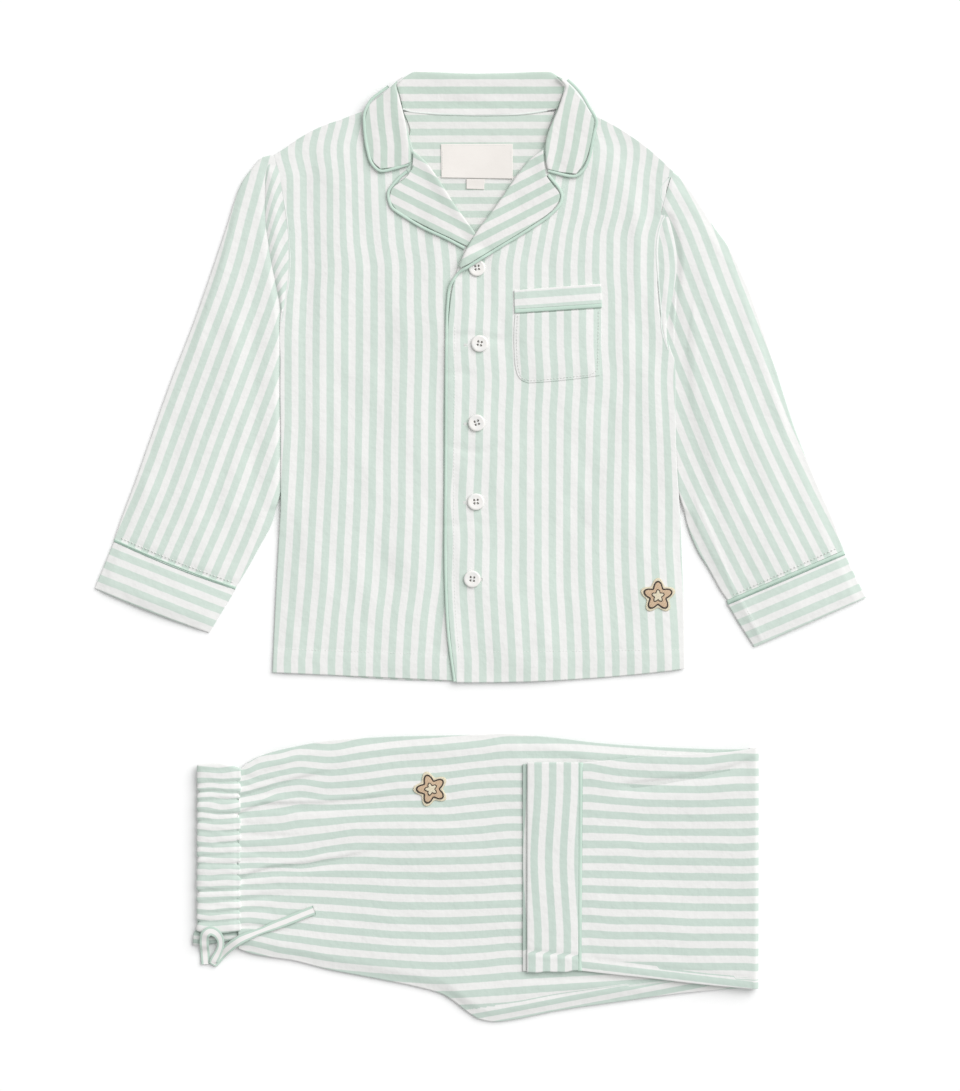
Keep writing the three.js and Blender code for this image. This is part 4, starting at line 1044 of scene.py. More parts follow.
CREAM = satin_stitch("patch_cream", linear(243, 234, 208), linear(226, 214, 184), 0.5)
TAN = satin_stitch("patch_tan", linear(224, 196, 164), linear(204, 174, 142), 1.1)
BROWN = satin_stitch("patch_brown", linear(74, 60, 50), linear(50, 40, 34), 2.2)

# ---- floor --------------------------------------------------------------------------------------------------
floor_mesh = bpy.data.meshes.new("floor")
floor_mesh.from_pydata([(-4, -4, -0.0006), (4, -4, -0.0006), (4, 4, -0.0006), (-4, 4, -0.0006)], [], [(0, 1, 2, 3)])
fm = Nodes("floor_white")
fm.shader.inputs["Base Color"].default_value = (FLOOR, FLOOR, FLOOR, 1)
fm.shader.inputs["Roughness"].default_value = 0.9
fm.shader.inputs["Specular IOR Level"].default_value = 0.0
floor_mesh.materials.append(fm.material)
floor = bpy.data.objects.new("floor", floor_mesh)
scene.collection.objects.link(floor)

# ---- heights of the shirt's layers ----------------------------------------------------------------------------
WALL, GAP, LOFT, CLOTH = 1.0, 0.3, 1.4, 0.8


def edge_at(table, kx, ky, y):
    order = np.argsort(table[:, ky])
    return np.interp(y, table[order, ky], table[order, kx])


def below(row, x, y):
    dx, dy = row[2] - row[0], row[3] - row[1]
    return ((x - row[0]) * dy - (y - row[1]) * dx) / math.hypot(dx, dy)


def body_folds(x, y):
    """Low soft folds of the shirt's body, upwards and downwards"""
    z = 0.42 * wander(x, y, (26, 60), 3) + 0.26 * wander(x, y, (12, 24), 5)
    z = z + fold(x, y, [(352, 318), (340, 372), (352, 430)], 0.5, 16, 12, 30, 40)
    z = z + fold(x, y, [(652, 300), (636, 390), (640, 470), (650, 540)], 0.7, 9, 12, 20, 60)
    z = z + fold(x, y, [(612, 392), (584, 470), (566, 560)], 0.5, 12, 9, 30, 50)
    z = z + fold(x, y, [(500, 348), (524, 420), (520, 500)], 0.35, 12, 12, 20, 50)
    z = z + fold(x, y, [(448, 338), (470, 335), (500, 340), (514, 336)], 0.5, 2.6, 3.2, 6, 14)
    z = z + fold(x, y, [(449, 374), (462, 372), (474, 376)], 0.45, 2.4, 3.0, 6, 12)
    z = z + fold(x, y, [(449, 446), (478, 452), (500, 447)], 0.4, 2.4, 3.0, 6, 14)
    z = z + fold(x, y, [(447, 526), (470, 521), (486, 524)], 0.4, 2.4, 3.0, 6, 14)
    z = z + fold(x, y, [(380, 560), (410, 600), (420, 660)], 0.4, 10, 12, 30, 20)
    z = z + fold(x, y, [(306, 200), (300, 260), (304, 330)], 0.5, 9, 7, 20, 40)
    z = z + fold(x, y, [(632, 196), (640, 250), (636, 300)], -0.45, 8, 8, 20, 40)
    z = z + fold(x, y, [(667, 204), (650, 216), (640, 240)], 0.5, 3.0, 3.5, 4, 20)
    return 1.45 * z


def front_base(x, y):
    near_left = x - edge_at(FRONT_RIGHT, 0, 1, y)
    near_right = edge_at(FRONT_LEFT, 2, 3, y) - x
    side = np.minimum(near_left, near_right)
    hem = y - FRONT_LEFT[-1][1]
    shoulder = np.minimum(below(FRONT_RIGHT[0], x, y), below(FRONT_LEFT[0], x, y))
    beside = ease(4, 34, y)
    free = ease(0, 34, side) * ease(0, 34, hem) * ease(0, 30, shoulder)
    lively = ease(2, 14, side) * ease(-2, 10, hem) * ease(0, 18, shoulder)
    seam = np.maximum(1.0 * (1 - ease(8, 40, near_left)), 0.25 * (1 - ease(8, 40, near_right)))
    seam = seam * beside * ease(0, 24, shoulder)
    low = 0.62 + 0.5 * ease(0, 14, np.minimum(hem, side + 60 * beside))
    level = low + (WALL + GAP - 1.12)
    return np.maximum(low, level + np.maximum(LOFT * free, seam) + body_folds(x, y) * lively)


UNDERLAP = FRONT_RIGHT[8][2]


def left_under(x, y):
    over = (WALL + GAP) * (1 - ease(UNDERLAP + 14, UNDERLAP + 70, x)) * (1 - ease(238, 266, y))
    return front_base(x, y) + over


def left_top(x, y):
    return left_under(x, y) + CLOTH


BUTTON_R = 6.4


def over_button(x, y):
    bx, by = BUTTONS[0]
    return 2.5 * (1 - ease(BUTTON_R + 1.4, BUTTON_R + 11, np.hypot(x - bx, y - by)))


def lapel_right_under(x, y):
    return left_top(x, y) + WALL - CLOTH + GAP + over_button(x, y)


def lapel_left_under(x, y):
    return front_base(x, y) + WALL + GAP


WING_UNDER = WALL + GAP + LOFT + WALL + GAP + 0.5


def extent(panel):
    return panel.width.max() * MM, panel.length * MM


def area_of(obj):
    """Half of the surface of a closed thin piece, which is the cloth in it"""
    m = obj.data
    a = np.empty(len(m.polygons))
    m.polygons.foreach_get("area", a)
    return float(a.sum()) / 2


def cloth_piece(obj, nodes, area=None):
    if nodes:
        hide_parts(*nodes)
    area = area_of(obj) if area is None else area
    return obj


def part(name, material, shells):
    b = Build()
    for s in shells:
        b.add(*s)
    return b.piece(name, material)


def small(obj, nodes=()):
    if nodes:
        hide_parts(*nodes)
    return obj


# ---- drawstring: a flat striped tape that loops out of the waistband ------------------------------------------
tape_path = smooth_path(DRAWSTRING, 1.0)
tape_twist = 0.9 * ease(96, 112, np.arange(len(tape_path))) * (1 - ease(112, 128, np.arange(len(tape_path))))
tape_path[:, 2] = tape_path[:, 2] + TAPE_LIFT
tape_run = np.r_[0, np.cumsum(np.linalg.norm(np.diff(tape_path, axis=0), axis=1))]
tape_width = 7.0 - 2.0 * np.exp(-(((tape_run - tape_run[-1] + 44) / 9) ** 2)) - 1.9 * np.exp(-(((tape_run - 47) / 9) ** 2))
drawstring = part("drawstring_tape", TAPE, [ribbon(tape_path, tape_width, 0.9, power=5.0)])
small(drawstring, ("drawstring",))
sample = np.linspace(0, len(tape_path) - 1, 40).round().astype(int)

# ---- shirt body -----------------------------------------------------------------------------------------------
back = Panel(SHIRT_BACK, step=4.0, power=2.0, first_power=4.0)
beside = ease(4, 34, back.y)
back_rim = np.minimum(back.last, np.minimum(back.left, back.right) + 60 * beside)
back_thick = 0.45 + 0.4 * ease(0, 12, back_rim) + 0.6 * (1 - ease(0.5, 4, np.minimum(back.left, back.right))) * beside
shirt_back = part("shirt_back_cloth", SHIRT, [back.sheet(0.05, back_thick, grain_front_left, left=0.9, right=0.9, last=0.6)])
cloth_piece(shirt_back, ("shirt_back",))

fr = Panel(FRONT_RIGHT, step=2.0)
fr.push(left=1.1, where=ease(140, 160, fr.y))
hem_edge = FRONT_LEFT[-1][1]


def hem_turn(panel, deep=19.0):
    """The turned hem is a little thicker, and the stitch line dips in"""
    t = 0.28 * (1 - ease(deep - 1.0, deep + 1.5, panel.last))
    pucker = 0.22 * np.exp(-(((panel.last - deep) / 1.6) ** 2)) * (1 + 0.7 * wander(panel.x, panel.y, (3.2, 40), 21))
    return t, -pucker


thicker, dip = hem_turn(fr)
under = front_base(fr.x, fr.y)
front_right = part(
    "shirt_front_right_cloth",
    SHIRT,
    [fr.sheet(np.maximum(under + dip, 0.55), CLOTH + thicker, grain_front_right, left=1.0, last=0.6, right=0.6)],
)

fl = Panel(FRONT_LEFT, step=2.0).push(left=0.7)
fl.push(right=1.9, where=ease(140, 160, fl.y) * ease(290, 276, fl.y))
thicker, dip = hem_turn(fl)
under = left_under(fl.x, fl.y)
placket = 0.35 * (1 - ease(2, 30, fl.left)) + 0.15 * np.exp(-(((fl.left - 2.4) / 1.6) ** 2))
groove = -0.22 * np.exp(-(((fl.left - 4.9) / 1.0) ** 2)) * (1 + 0.6 * wander(fl.x, fl.y, (40, 3.4), 22))
front_left = part(
    "shirt_front_left_cloth",
    SHIRT,
    [
        fl.sheet(
            under + np.where(fl.left > 70, dip, 0.6 * dip),
            CLOTH + thicker + placket * ease(4, 30, fl.first) + groove,
            grain_front_left,
            left=0.4,
            last=0.6,
            right=0.9,
        )
    ],
)

facing = Panel(NECK_FACING, step=2.5).push(first=2.2)
facing_z = 1.35 + 0.25 * wander(facing.x, facing.y, 16, 8)
neck_facing = part(
    "neck_facing_cloth",
    FACING,
    [facing.sheet(facing_z, 0.6, by_line((400, 118), (1, 0.0), 13.7), left=0.5, right=0.5, first=0.5, last=0.5)],
)
label = Panel(NECK_LABEL, step=2.0)
label_z = 2.35 + 0.12 * wander(label.x, label.y, 14, 9) + 0.5 * ease(18, 26, label.run) * 0.3
label_grain = by_line((441, 144), (1, 0), 3.0)
neck_label = part("neck_label_tape", LABEL, [label.sheet(label_z, 0.5, label_grain, left=0.4, right=0.4, first=0.4, last=0.4)])
tab = Panel(SIZE_TAB, step=1.5)
tab_z = 2.3 - 0.3 * ease(0, 6, tab.run) + 0.25
size_tab = part("size_tab_tape", LABEL, [tab.sheet(tab_z, 0.5, label_grain, left=0.3, right=0.3, last=0.4)])


# ---- collar ---------------------------------------------------------------------------------------------------
def puff(panel, high, reach=9.0):
    d = np.minimum(np.minimum(panel.left, panel.right), np.minimum(panel.first, panel.last))
    return high * ease(0, reach, d)


cb = Panel(COLLAR_BACK, step=2.0).push(right=0.6)
# left borders of its rows are the fold along the top, right borders the neck seam
collar_fold = 3.0 - 0.9 * ease(3, 26, cb.left) + 0.35 * wander(cb.x, cb.y, (26, 9), 12)
collar_grain = by_line((400, 90), (1, 0.0), 14.6)
collar_back = part(
    "collar_back_cloth", COLLAR, [cb.sheet(0.15, collar_fold, collar_grain, left=1.6, right=0.3, first=1.0, last=1.0)]
)

WING_LEFT_X = [(80, 380), (100, 380), (120, 381), (150, 384), (170, 384)]
WING_RIGHT_X = [(80, 573), (88, 572), (100, 569), (120, 565), (150, 560), (175, 554)]


def wing(name, table, roll_right, grain, seed):
    p = Panel(table, step=1.6)
    p.push(**({"left": 0.9} if roll_right else {"right": 0.9}), last=0.9, first=0.4)
    inner = p.right if roll_right else p.left
    outer = p.left if roll_right else p.right
    roll = 1.3 * (1 - ease(0, 12, inner))
    seam = -0.12 * np.exp(-((outer / 1.3) ** 2))
    z = WING_UNDER + 0.25 * wander(p.x, p.y, (10, 26), seed) + puff(p, 0.35)
    thick = CLOTH + 0.3 + roll + seam
    edges = dict(left=0.3, right=1.6, first=0.4, last=0.3) if roll_right else dict(left=1.6, right=0.3, first=0.4, last=0.3)
    return p, part(name, COLLAR, [p.sheet(z, thick, grain, **edges)])


wl, wing_left = wing("collar_wing_left_cloth", WING_LEFT, True, by_centre(WING_LEFT_X, 14.0), 13)
wr, wing_right = wing("collar_wing_right_cloth", WING_RIGHT, False, by_centre(WING_RIGHT_X, 14.5), 14)


def lapel(name, table, roll_right, under_at, grain, seed):
    p = Panel(table, step=1.6)
    p.push(**({"left": 0.7} if roll_right else {"right": 0.7}), reach=3.0, where=ease(0, 14, p.first) * ease(0, 10, p.last))
    inner = p.right if roll_right else p.left
    outer = p.left if roll_right else p.right
    z = under_at(p.x, p.y) + 0.15 * wander(p.x, p.y, (12, 22), seed)
    thick = CLOTH + 0.2 + 1.1 * (1 - ease(0, 10, inner)) - 0.1 * np.exp(-((outer / 1.2) ** 2))
    edges = dict(left=0.3, right=1.6, first=0.4, last=0.4) if roll_right else dict(left=1.6, right=0.3, first=0.4, last=0.4)
    return p, part(name, COLLAR, [p.sheet(z, thick, grain, **edges)])


ll, lapel_left = lapel("lapel_left_cloth", LAPEL_LEFT, True, lapel_left_under, by_line((430, 194), (20, 10), 14.3), 15)
lr, lapel_right = lapel("lapel_right_cloth", LAPEL_RIGHT, False, lapel_right_under, by_line((500, 228), (20, -10.3), 14.2), 16)


# ---- piping -----------------------------------------------------------------------------------------------------
def piping(name, path, z_at, node, width=2.2, height=1.5):
    p = smooth_path(path, 1.2)
    z = z_at(p[:, 0], p[:, 1]) + height / 2
    flat = np.stack([p[:, 0], p[:, 1], z + 0.06 * wander(p[:, 0], p[:, 1], 5, 17)], -1)
    obj = part(name, PIPING, [ribbon(flat, width, height, power=2.4)])
    return small(obj, (node,))


pipe_wl = piping("piping_wing_left_cord", WING_LEFT_EDGE, lambda x, y: WING_UNDER + 0 * x, "piping_wing_left")
pipe_wr = piping("piping_wing_right_cord", WING_RIGHT_EDGE, lambda x, y: WING_UNDER + 0 * x, "piping_wing_right")
pipe_ll = piping("piping_lapel_left_cord", LAPEL_LEFT_EDGE, lambda x, y: lapel_left_under(x, y) + 0.0, "piping_lapel_left")


def placket_z(x, y):
    t = ease(194, 203, y)
    return left_under(x, y) * (1 - t) + (lapel_right_under(x, y)) * t


pipe_placket = piping("piping_placket_cord", PLACKET_EDGE, placket_z, "piping_placket")

# ---- pocket -------------------------------------------------------------------------------------------------------
pk = Panel(POCKET, step=1.8)
near = np.minimum(np.minimum(pk.left, pk.right), pk.last)
pk_z = left_top(pk.x, pk.y) + 0.06 + 0.45 * ease(3, 16, near) - 0.1 * np.exp(-(((near - 2.2) / 0.9) ** 2))
pocket = part(
    "pocket_cloth", SHIRT, [pk.sheet(pk_z, 0.5 + (CLOTH - 0.5) * ease(0.5, 6, near), grain_front_left, left=0.5, right=0.5, last=0.5, first=0.3)]
)
pb = Panel(POCKET_BAND, step=1.5).push(last=0.8)
pb_grain = by_line((514, 296), (86.7, -6.2), 13.5)
pocket_band = part(
    "pocket_band_cloth",
    SHIRT,
    [pb.sheet(left_top(pb.x, pb.y) + 0.2 + 0.2 * ease(1, 6, np.minimum(pb.left, pb.right)), 1.15, pb_grain, left=0.7, right=0.7, first=0.6, last=0.3)],
)
pp = Panel(POCKET_PIPING, step=1.5)
pocket_pipe = small(
    part(
        "pocket_piping_cord",
        PIPING,
        [pp.sheet(left_top(pp.x, pp.y) + 0.1, 1.5, by_line((514, 311), (1, -0.07), 3.0), left=0.8, right=0.8, first=1.0, last=1.2)],
    ),
    ("pocket_piping",),
)


# ---- buttons ------------------------------------------------------------------------------------------------------
def button_mesh():
    """Dished four-hole button: a lathe body with its holes cut through"""
    profile = [
        (0.0, 0.1), (5.3, 0.1), (5.9, 0.3), (6.3, 0.7), (6.4, 1.05), (6.3, 1.42), (5.95, 1.7), (5.4, 1.82),
        (4.9, 1.82), (4.4, 1.76), (3.8, 1.68), (3.2, 1.62), (2.0, 1.59), (0.0, 1.58),
    ]
    n = 72
    verts = [(0, 0, profile[0][1])]
    for r, z in profile[1:-1]:
        verts += [(r * math.cos(2 * math.pi * k / n), r * math.sin(2 * math.pi * k / n), z) for k in range(n)]
    verts.append((0, 0, profile[-1][1]))
    faces = []
    ring = len(profile) - 2
    for k in range(n):
        faces.append((0, 1 + (k + 1) % n, 1 + k))
        for i in range(ring - 1):
            a, b = 1 + i * n + k, 1 + i * n + (k + 1) % n
            faces.append((a, b, b + n, a + n))
        top = 1 + (ring - 1) * n
        faces.append((top + k, top + (k + 1) % n, len(verts) - 1))
    mesh = bpy.data.meshes.new("button_blank")
    mesh.from_pydata([tuple(c * MM for c in v) for v in verts], [], faces)
    blank = bpy.data.objects.new("button_blank", mesh)
    scene.collection.objects.link(blank)
    holes = []
    q = 1.75 / math.sqrt(2)
    hv, hf = [], []
    for sx, sy in ((1, 1), (-1, 1), (-1, -1), (1, -1)):
        base = len(hv)
        for z in (-1.0, 3.5):
            hv += [
                (MM * (sx * q + 0.84 * math.cos(2 * math.pi * k / 16)), MM * (sy * q + 0.84 * math.sin(2 * math.pi * k / 16)), MM * z)
                for k in range(16)
            ]
        for k in range(16):
            a, b = base + k, base + (k + 1) % 16
            hf.append((a, b, b + 16, a + 16))
        hf.append(tuple(base + k for k in range(15, -1, -1)))
        hf.append(tuple(base + 16 + k for k in range(16)))
    drill_mesh = bpy.data.meshes.new("button_drill")
    drill_mesh.from_pydata(hv, [], hf)
    drill = bpy.data.objects.new("button_drill", drill_mesh)
    scene.collection.objects.link(drill)
    cut = blank.modifiers.new("holes", "BOOLEAN")
    cut.operation, cut.solver, cut.object = "DIFFERENCE", "EXACT", drill
    graph = bpy.context.evaluated_depsgraph_get()
    done = bpy.data.meshes.new_from_object(blank.evaluated_get(graph))
    for o in (blank, drill):
        bpy.data.objects.remove(o)
    done.materials.clear()
    return done


button_blank = button_mesh()
button_base = np.empty(len(button_blank.vertices) * 3)
button_blank.vertices.foreach_get("co", button_base)
button_base = button_base.reshape(-1, 3)
for k, (bx, by) in enumerate(BUTTONS):
    angle = (0.12, -0.2, 0.3, 0.05, -0.1)[k]
    lift = left_top(bx, by) + 0.25
    # a button leans a little on its thread shank
    ax, ay = ((0.01, -0.02), (-0.02, 0.015), (0.02, 0.01), (-0.01, -0.02), (0.015, 0.02))[k]
    c, s = math.cos(angle), math.sin(angle)
    v = button_base.copy()
    x, y = v[:, 0] * c - v[:, 1] * s, v[:, 0] * s + v[:, 1] * c
    v[:, 0], v[:, 1] = x, y
    v[:, 2] += ax * x + ay * y
    v += np.array([bx * MM, by * MM, lift * MM])
    mesh = button_blank.copy()
    mesh.vertices.foreach_set("co", v.ravel())
    mesh.materials.append(PEARL)
    mesh.polygons.foreach_set("use_smooth", [abs(p.normal.z) > 0.02 or len(p.vertices) <= 4 for p in mesh.polygons])
    mesh.update()
    obj = bpy.data.objects.new(f"button_{k + 1}_pearl", mesh)
    scene.collection.objects.link(obj)
    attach(obj, "root")
    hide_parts(f"button_{k + 1}")
    threads = Build()
    q = 1.75 / math.sqrt(2)
    for (x0, y0), (x1, y1) in (((-q, -q), (q, -q)), ((-q, q), (q, q))):
        for o in (-0.17, 0.17):
            pts = []
            for t in np.linspace(0, 1, 7):
                lx, ly = x0 + (x1 - x0) * t, y0 + (y1 - y0) * t + o
                px_, py_ = lx * c - ly * s, lx * s + ly * c
                arch = 1.62 + 0.06 * math.sin(math.pi * t) - 1.2 * (abs(2 * t - 1) ** 6)
                pts.append((bx + px_, by + py_, lift + arch + ax * px_ + ay * py_))
            threads.add(*ribbon(np.array(pts), 0.26, 0.22))
    t_obj = threads.piece(f"button_{k + 1}_thread", THREAD)
    small(t_obj)
    # a dark grey disc just under the top in each hole: painted shade that darkens the holes
    hole_shade_discs = Build()
    for hx, hy in ((q, q), (-q, q), (-q, -q), (q, -q)):
        px_, py_ = bx + hx * c - hy * s, by + hx * s + hy * c
        rise = lift + 1.02 + ax * (px_ - bx) + ay * (py_ - by)
        hole_shade_discs.add(*ribbon(np.array([(px_ - 0.5, py_, rise), (px_, py_, rise + 0.06), (px_ + 0.5, py_, rise)]), 1.3, 0.3))
    k_obj = hole_shade_discs.piece(f"button_{k + 1}_knots", HOLE_PAINTED_SHADE_GREY)
    small(k_obj)


# ---- buttonholes: close white bars that show beside the buttons -----------------------------------------------------
def bar(build, cx, cy, length, height, z_at, angle=0.0):
    n = max(3, int(length / 0.42))
    c, s = math.cos(angle), math.sin(angle)
    for i in range(n):
        a = (i / (n - 1) - 0.5) * length
        pts = []
        for b in np.linspace(-0.5, 0.5, 5) * height:
            x, y = cx + a * c - b * s, cy + a * s + b * c
            pts.append((x, y, float(z_at(x, y)) + 0.05 + 0.3 * (1 - (2 * b / height) ** 2)))
        build.add(*ribbon(np.array(pts), 0.46, 0.4))


holes = Build()
for gx, gy in ((465.6, 345.2), (465.4, 424.0), (464.8, 502.6)):
    hx, hy = px((gx, gy))
    bar(holes, float(hx), float(hy), 2.2, 2.4, left_top)
hx, hy = px((481.8, 579.4))
bar(holes, float(hx), float(hy), 1.8, 2.4, left_top)
buttonholes = small(holes.piece("buttonhole_bars", THREAD))


# ---- star patches ---------------------------------------------------------------------------------------------------
def star_shell(radius, turn, low, high, centre, top_at, dome=0.25, edge=0.5, margin=0.0):
    n, m = 150, 14
    a = 2 * np.pi * np.arange(n) / n
    reach = radius * (0.79 + 0.21 * np.cos(5 * a)) + margin
    share = np.r_[1.0, 0.985, 0.95, 0.9, np.linspace(0.82, 0.06, m - 4)]
    rx = np.outer(share, reach * np.cos(a + turn)) + centre[0]
    ry = np.outer(share, reach * np.sin(a + turn)) + centre[1]
    inwards = (1 - share)[:, None] * reach[None]
    h = np.sqrt(np.clip(1 - (1 - np.clip(inwards / edge, 0, 1)) ** 2, 0.02, 1))
    base = top_at(rx, ry)
    top = np.stack([rx, ry, base + low + (high - low) * h + dome * (1 - share[:, None] ** 2)], -1)
    under = np.stack([rx, ry, base + low], -1)
    size = n * m
    idx = np.concatenate([np.arange(size).reshape(m, n), np.arange(size).reshape(m, n)[:, :1]], 1)
    quads = np.stack([idx[:-1, :-1], idx[:-1, 1:], idx[1:, 1:], idx[1:, :-1]], -1).reshape(-1, 4)
    rim = np.stack([idx[0, 1:], idx[0, :-1], idx[0, :-1] + size, idx[0, 1:] + size], -1)
    cap = [
        [2 * size + side] + [idx[-1, j] + side * size, idx[-1, j + 1] + side * size, idx[-1, j + 2] + side * size][:: 1 if side == 0 else -1]
        for side in (0, 1)
        for j in range(0, n, 2)
    ]
    verts = np.concatenate(
        [
            top.reshape(-1, 3),
            under.reshape(-1, 3),
            [[*centre, float(top_at(*centre)) + high + dome]],
            [[*centre, float(top_at(*centre)) + low]],
        ]
    )
    faces = np.concatenate([quads, quads[:, ::-1] + size, rim, np.array(cap)])
    if signed_volume(verts, faces) < 0:
        faces = faces[:, ::-1]
    return verts, faces


def star_outline(radius, turn, width, height, lift, centre, top_at):
    n = 160
    a = 2 * np.pi * np.arange(n + 1) / n
    reach = radius * (0.79 + 0.21 * np.cos(5 * a))
    x, y = centre[0] + reach * np.cos(a + turn), centre[1] + reach * np.sin(a + turn)
    z = top_at(x, y) + lift
    return ribbon(np.stack([x, y, z], -1), width, height)


def star_patch(name, centre, turn, top_at, node):
    rest = {}
    rest["border"] = part(name + "_border", CREAM, [star_shell(10.8, turn, 0.12, 1.0, centre, top_at, dome=0.1, margin=2.9)])
    rest["fill"] = part(name + "_fill", TAN, [star_shell(10.6, turn, 0.7, 1.45, centre, top_at, dome=0.25)])
    rest["outline"] = part(name + "_outline", BROWN, [star_outline(10.9, turn, 1.3, 0.9, 1.15, centre, top_at)])
    rest["heart"] = part(name + "_heart", CREAM, [star_shell(4.6, turn, 1.2, 1.95, centre, top_at, dome=0.12)])
    rest["line"] = part(name + "_line", BROWN, [star_outline(4.8, turn, 0.8, 0.6, 1.72, centre, top_at)])
    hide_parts(node)
    return list(rest.values())


shirt_star = star_patch("patch_shirt_star", STARS["shirt"], math.pi / 2, left_top, "patch_shirt")

# ---- sleeves --------------------------------------------------------------------------------------------------------
CREASE_LEFT = [(268, 160), (266, 170), (264.8, 182), (264.5, 200), (265, 220), (267.5, 240), (270.5, 260), (274.5, 280), (278.5, 300), (280.5, 314), (281, 330)]
ARMHOLE_LEFT = [(272, 152), (277, 165), (281, 180), (284, 200), (287, 220), (289, 240), (290, 262), (288.4, 285), (284.6, 305), (281.6, 322)]
CREASE_RIGHT = [(667.5, 210), (671, 222), (675, 238), (677.5, 252), (678, 266), (676.5, 281), (673.5, 297), (670, 313), (666.8, 328), (667.3, 340), (669, 350)]
ARMHOLE_RIGHT = [(675, 171.5), (667, 179), (661.5, 187), (660.8, 195), (664, 204), (666.5, 211), (662.5, 219), (659, 230), (656.8, 245), (657, 262), (658.5, 280), (660, 298), (661.5, 315), (661.5, 328), (664.5, 340), (668.2, 350)]


def flap_rows(crease, armhole, pairs):
    """Rows between a crease of the sleeve head and its armhole seam"""
    a, b = np.array(crease, float), np.array(armhole, float)
    out = []
    for ya, yb in pairs:
        p = (np.interp(ya, a[:, 1], a[:, 0]), ya)
        q = (np.interp(yb, b[:, 1], b[:, 0]), yb)
        (x0, y0), (x1, y1) = px(p), px(q)
        out.append((x0, y0, x1, y1, 0.0) if x0 < x1 else (x1, y1, x0, y0, 0.0))
    return np.array(out)


FLAP_LEFT = flap_rows(CREASE_LEFT, ARMHOLE_LEFT, [(161, 160), (170, 168), (184, 181), (202, 200), (222, 220), (242, 241), (262, 262), (282, 281), (300, 299), (313, 311)])
FLAP_RIGHT = flap_rows(CREASE_RIGHT, ARMHOLE_RIGHT, [(211, 212.5), (222, 222), (238, 236), (252, 250), (266, 265), (281, 280), (297, 296), (312, 311), (327, 327), (340, 340), (350, 350)])


def grain_flap_left(x, y):
    gx, gy = grid_of(x, y)
    a = np.array(ARMHOLE_LEFT, float)
    away = np.maximum(np.interp(gy, a[:, 1], a[:, 0]) - gx, 0)
    meet = gy - 1.25 * away - 0.035 * away**2
    return spline((150, 168, 185, 203, 222, 243, 262, 283, 302), (1, 2, 3, 4, 5, 6, 7, 8, 9), meet), np.asarray(x, float) * 1.3


def grain_flap_right(x, y):
    gx, gy = grid_of(x, y)
    middle = spline((205, 220, 235, 250, 270, 290, 312, 330), (661, 664, 667.5, 671, 672.5, 671, 669, 671), gy)
    return (gx - middle) / 10.5, np.asarray(y, float)


sl = Panel(SLEEVE_LEFT, step=2.0)
beside = ease(512, 480, grid_of(sl.x, sl.y)[1])
sl_right = sl.right * sl.normal(-1)[2]
sl.push(right=3.0, where=beside, reach=8.0).push(first=1.6).push(last=1.9)


def sleeve_height(p, seed):
    base = 2.6 + 1.7 * np.sin(np.pi * np.clip(p.f, 0, 1)) ** 2
    return base + 0.45 * wander(p.x, p.y, (22, 40), seed) + 0.2 * wander(p.x, p.y, (9, 16), seed + 1)


def left_sleeve_folds(x, y):
    z = fold(x, y, [(262, 330), (242, 392), (230, 452), (210, 520)], 0.9, 6, 11, 30, 40)
    z = z + fold(x, y, [(268, 360), (262, 420), (250, 480)], -0.4, 5, 7, 20, 40)
    z = z + fold(x, y, [(176, 420), (170, 470), (150, 520)], 0.5, 9, 9, 20, 30)
    z = z + fold(x, y, [(226, 250), (204, 320), (186, 380)], -0.45, 9, 9, 20, 40)
    z = z + fold(x, y, [(252, 200), (246, 250), (232, 310)], 0.5, 6, 8, 20, 30)
    return z


def right_sleeve_folds(x, y):
    z = fold(x, y, [(700, 300), (716, 372), (742, 450), (760, 520)], 0.7, 9, 9, 30, 40)
    z = z + fold(x, y, [(690, 420), (706, 480), (726, 540)], 0.6, 6, 7, 20, 40)
    z = z + fold(x, y, [(740, 300), (768, 372), (792, 440)], -0.45, 9, 9, 20, 40)
    z = z + fold(x, y, [(688, 230), (704, 280), (724, 340)], -0.4, 7, 8, 20, 30)
    z = z + fold(x, y, [(694, 496), (706, 522), (712.6, 537), (721, 557), (731.4, 584.5), (740, 606)], -0.4, 0.9, 1.3, 20, 2)
    z = z + fold(x, y, [(684, 506), (694, 528), (712, 566)], 0.4, 3, 3, 10, 10)
    return z


def under_flap(x, y, crease, towards):
    side, run, total = to_path(x, y, px(crease))
    return ease(-5, 1.5, side * towards) * ease(-2, 6, run) * (1 - ease(total - 2, total + 8, run))


near = ease(0, 8, np.minimum(sl.left, sl.right)) * ease(0, 6, sl.last)
h = sleeve_height(sl, 31) + left_sleeve_folds(sl.x, sl.y) * near
h = 1.45 + (h - 1.45) * ease(0, 11, np.minimum(sl.left, sl.right + 60 * beside))
valley = 2.5 + 1.0 * ease(22, 5, sl_right) - 1.6 * np.exp(-((np.maximum(sl_right - 1, 0) / 1.8) ** 2))
h = h + (valley - h) * (1 - ease(14, 38, sl_right)) * beside
h = h - (h - 1.9) * under_flap(sl.x, sl.y, CREASE_LEFT, 1)
h = h - 0.3 * np.exp(-(((sl.last - 1.9) / 1.1) ** 2))
sl_top = 0.05 + h
flap = Panel(FLAP_LEFT, step=1.3)
flap_top = 2.3 + 1.1 * np.sin(np.pi * np.clip(1 - flap.f, 0, 1) ** 1.2) ** 1.2 + 0.65 * flap.f
flap_z = 1.2 + (flap_top - 2.0) * ease(0, 14, flap.run) + 0.2 * wander(flap.x, flap.y, (6, 12), 33) * ease(0, 3, np.minimum(flap.left, flap.right))
sleeve_left = part(
    "sleeve_left_cloth",
    SHIRT,
    [
        sl.tube(h, grain_sleeve_left, base=0.05, ends=3.0, flank=0),
        flap.sheet(flap_z, 0.8, grain_flap_left, left=1.3, right=0.3, first=0.4, last=0.4),
    ],
)
sr = Panel(SLEEVE_RIGHT, step=2.0)
beside = ease(516, 486, grid_of(sr.x, sr.y)[1])
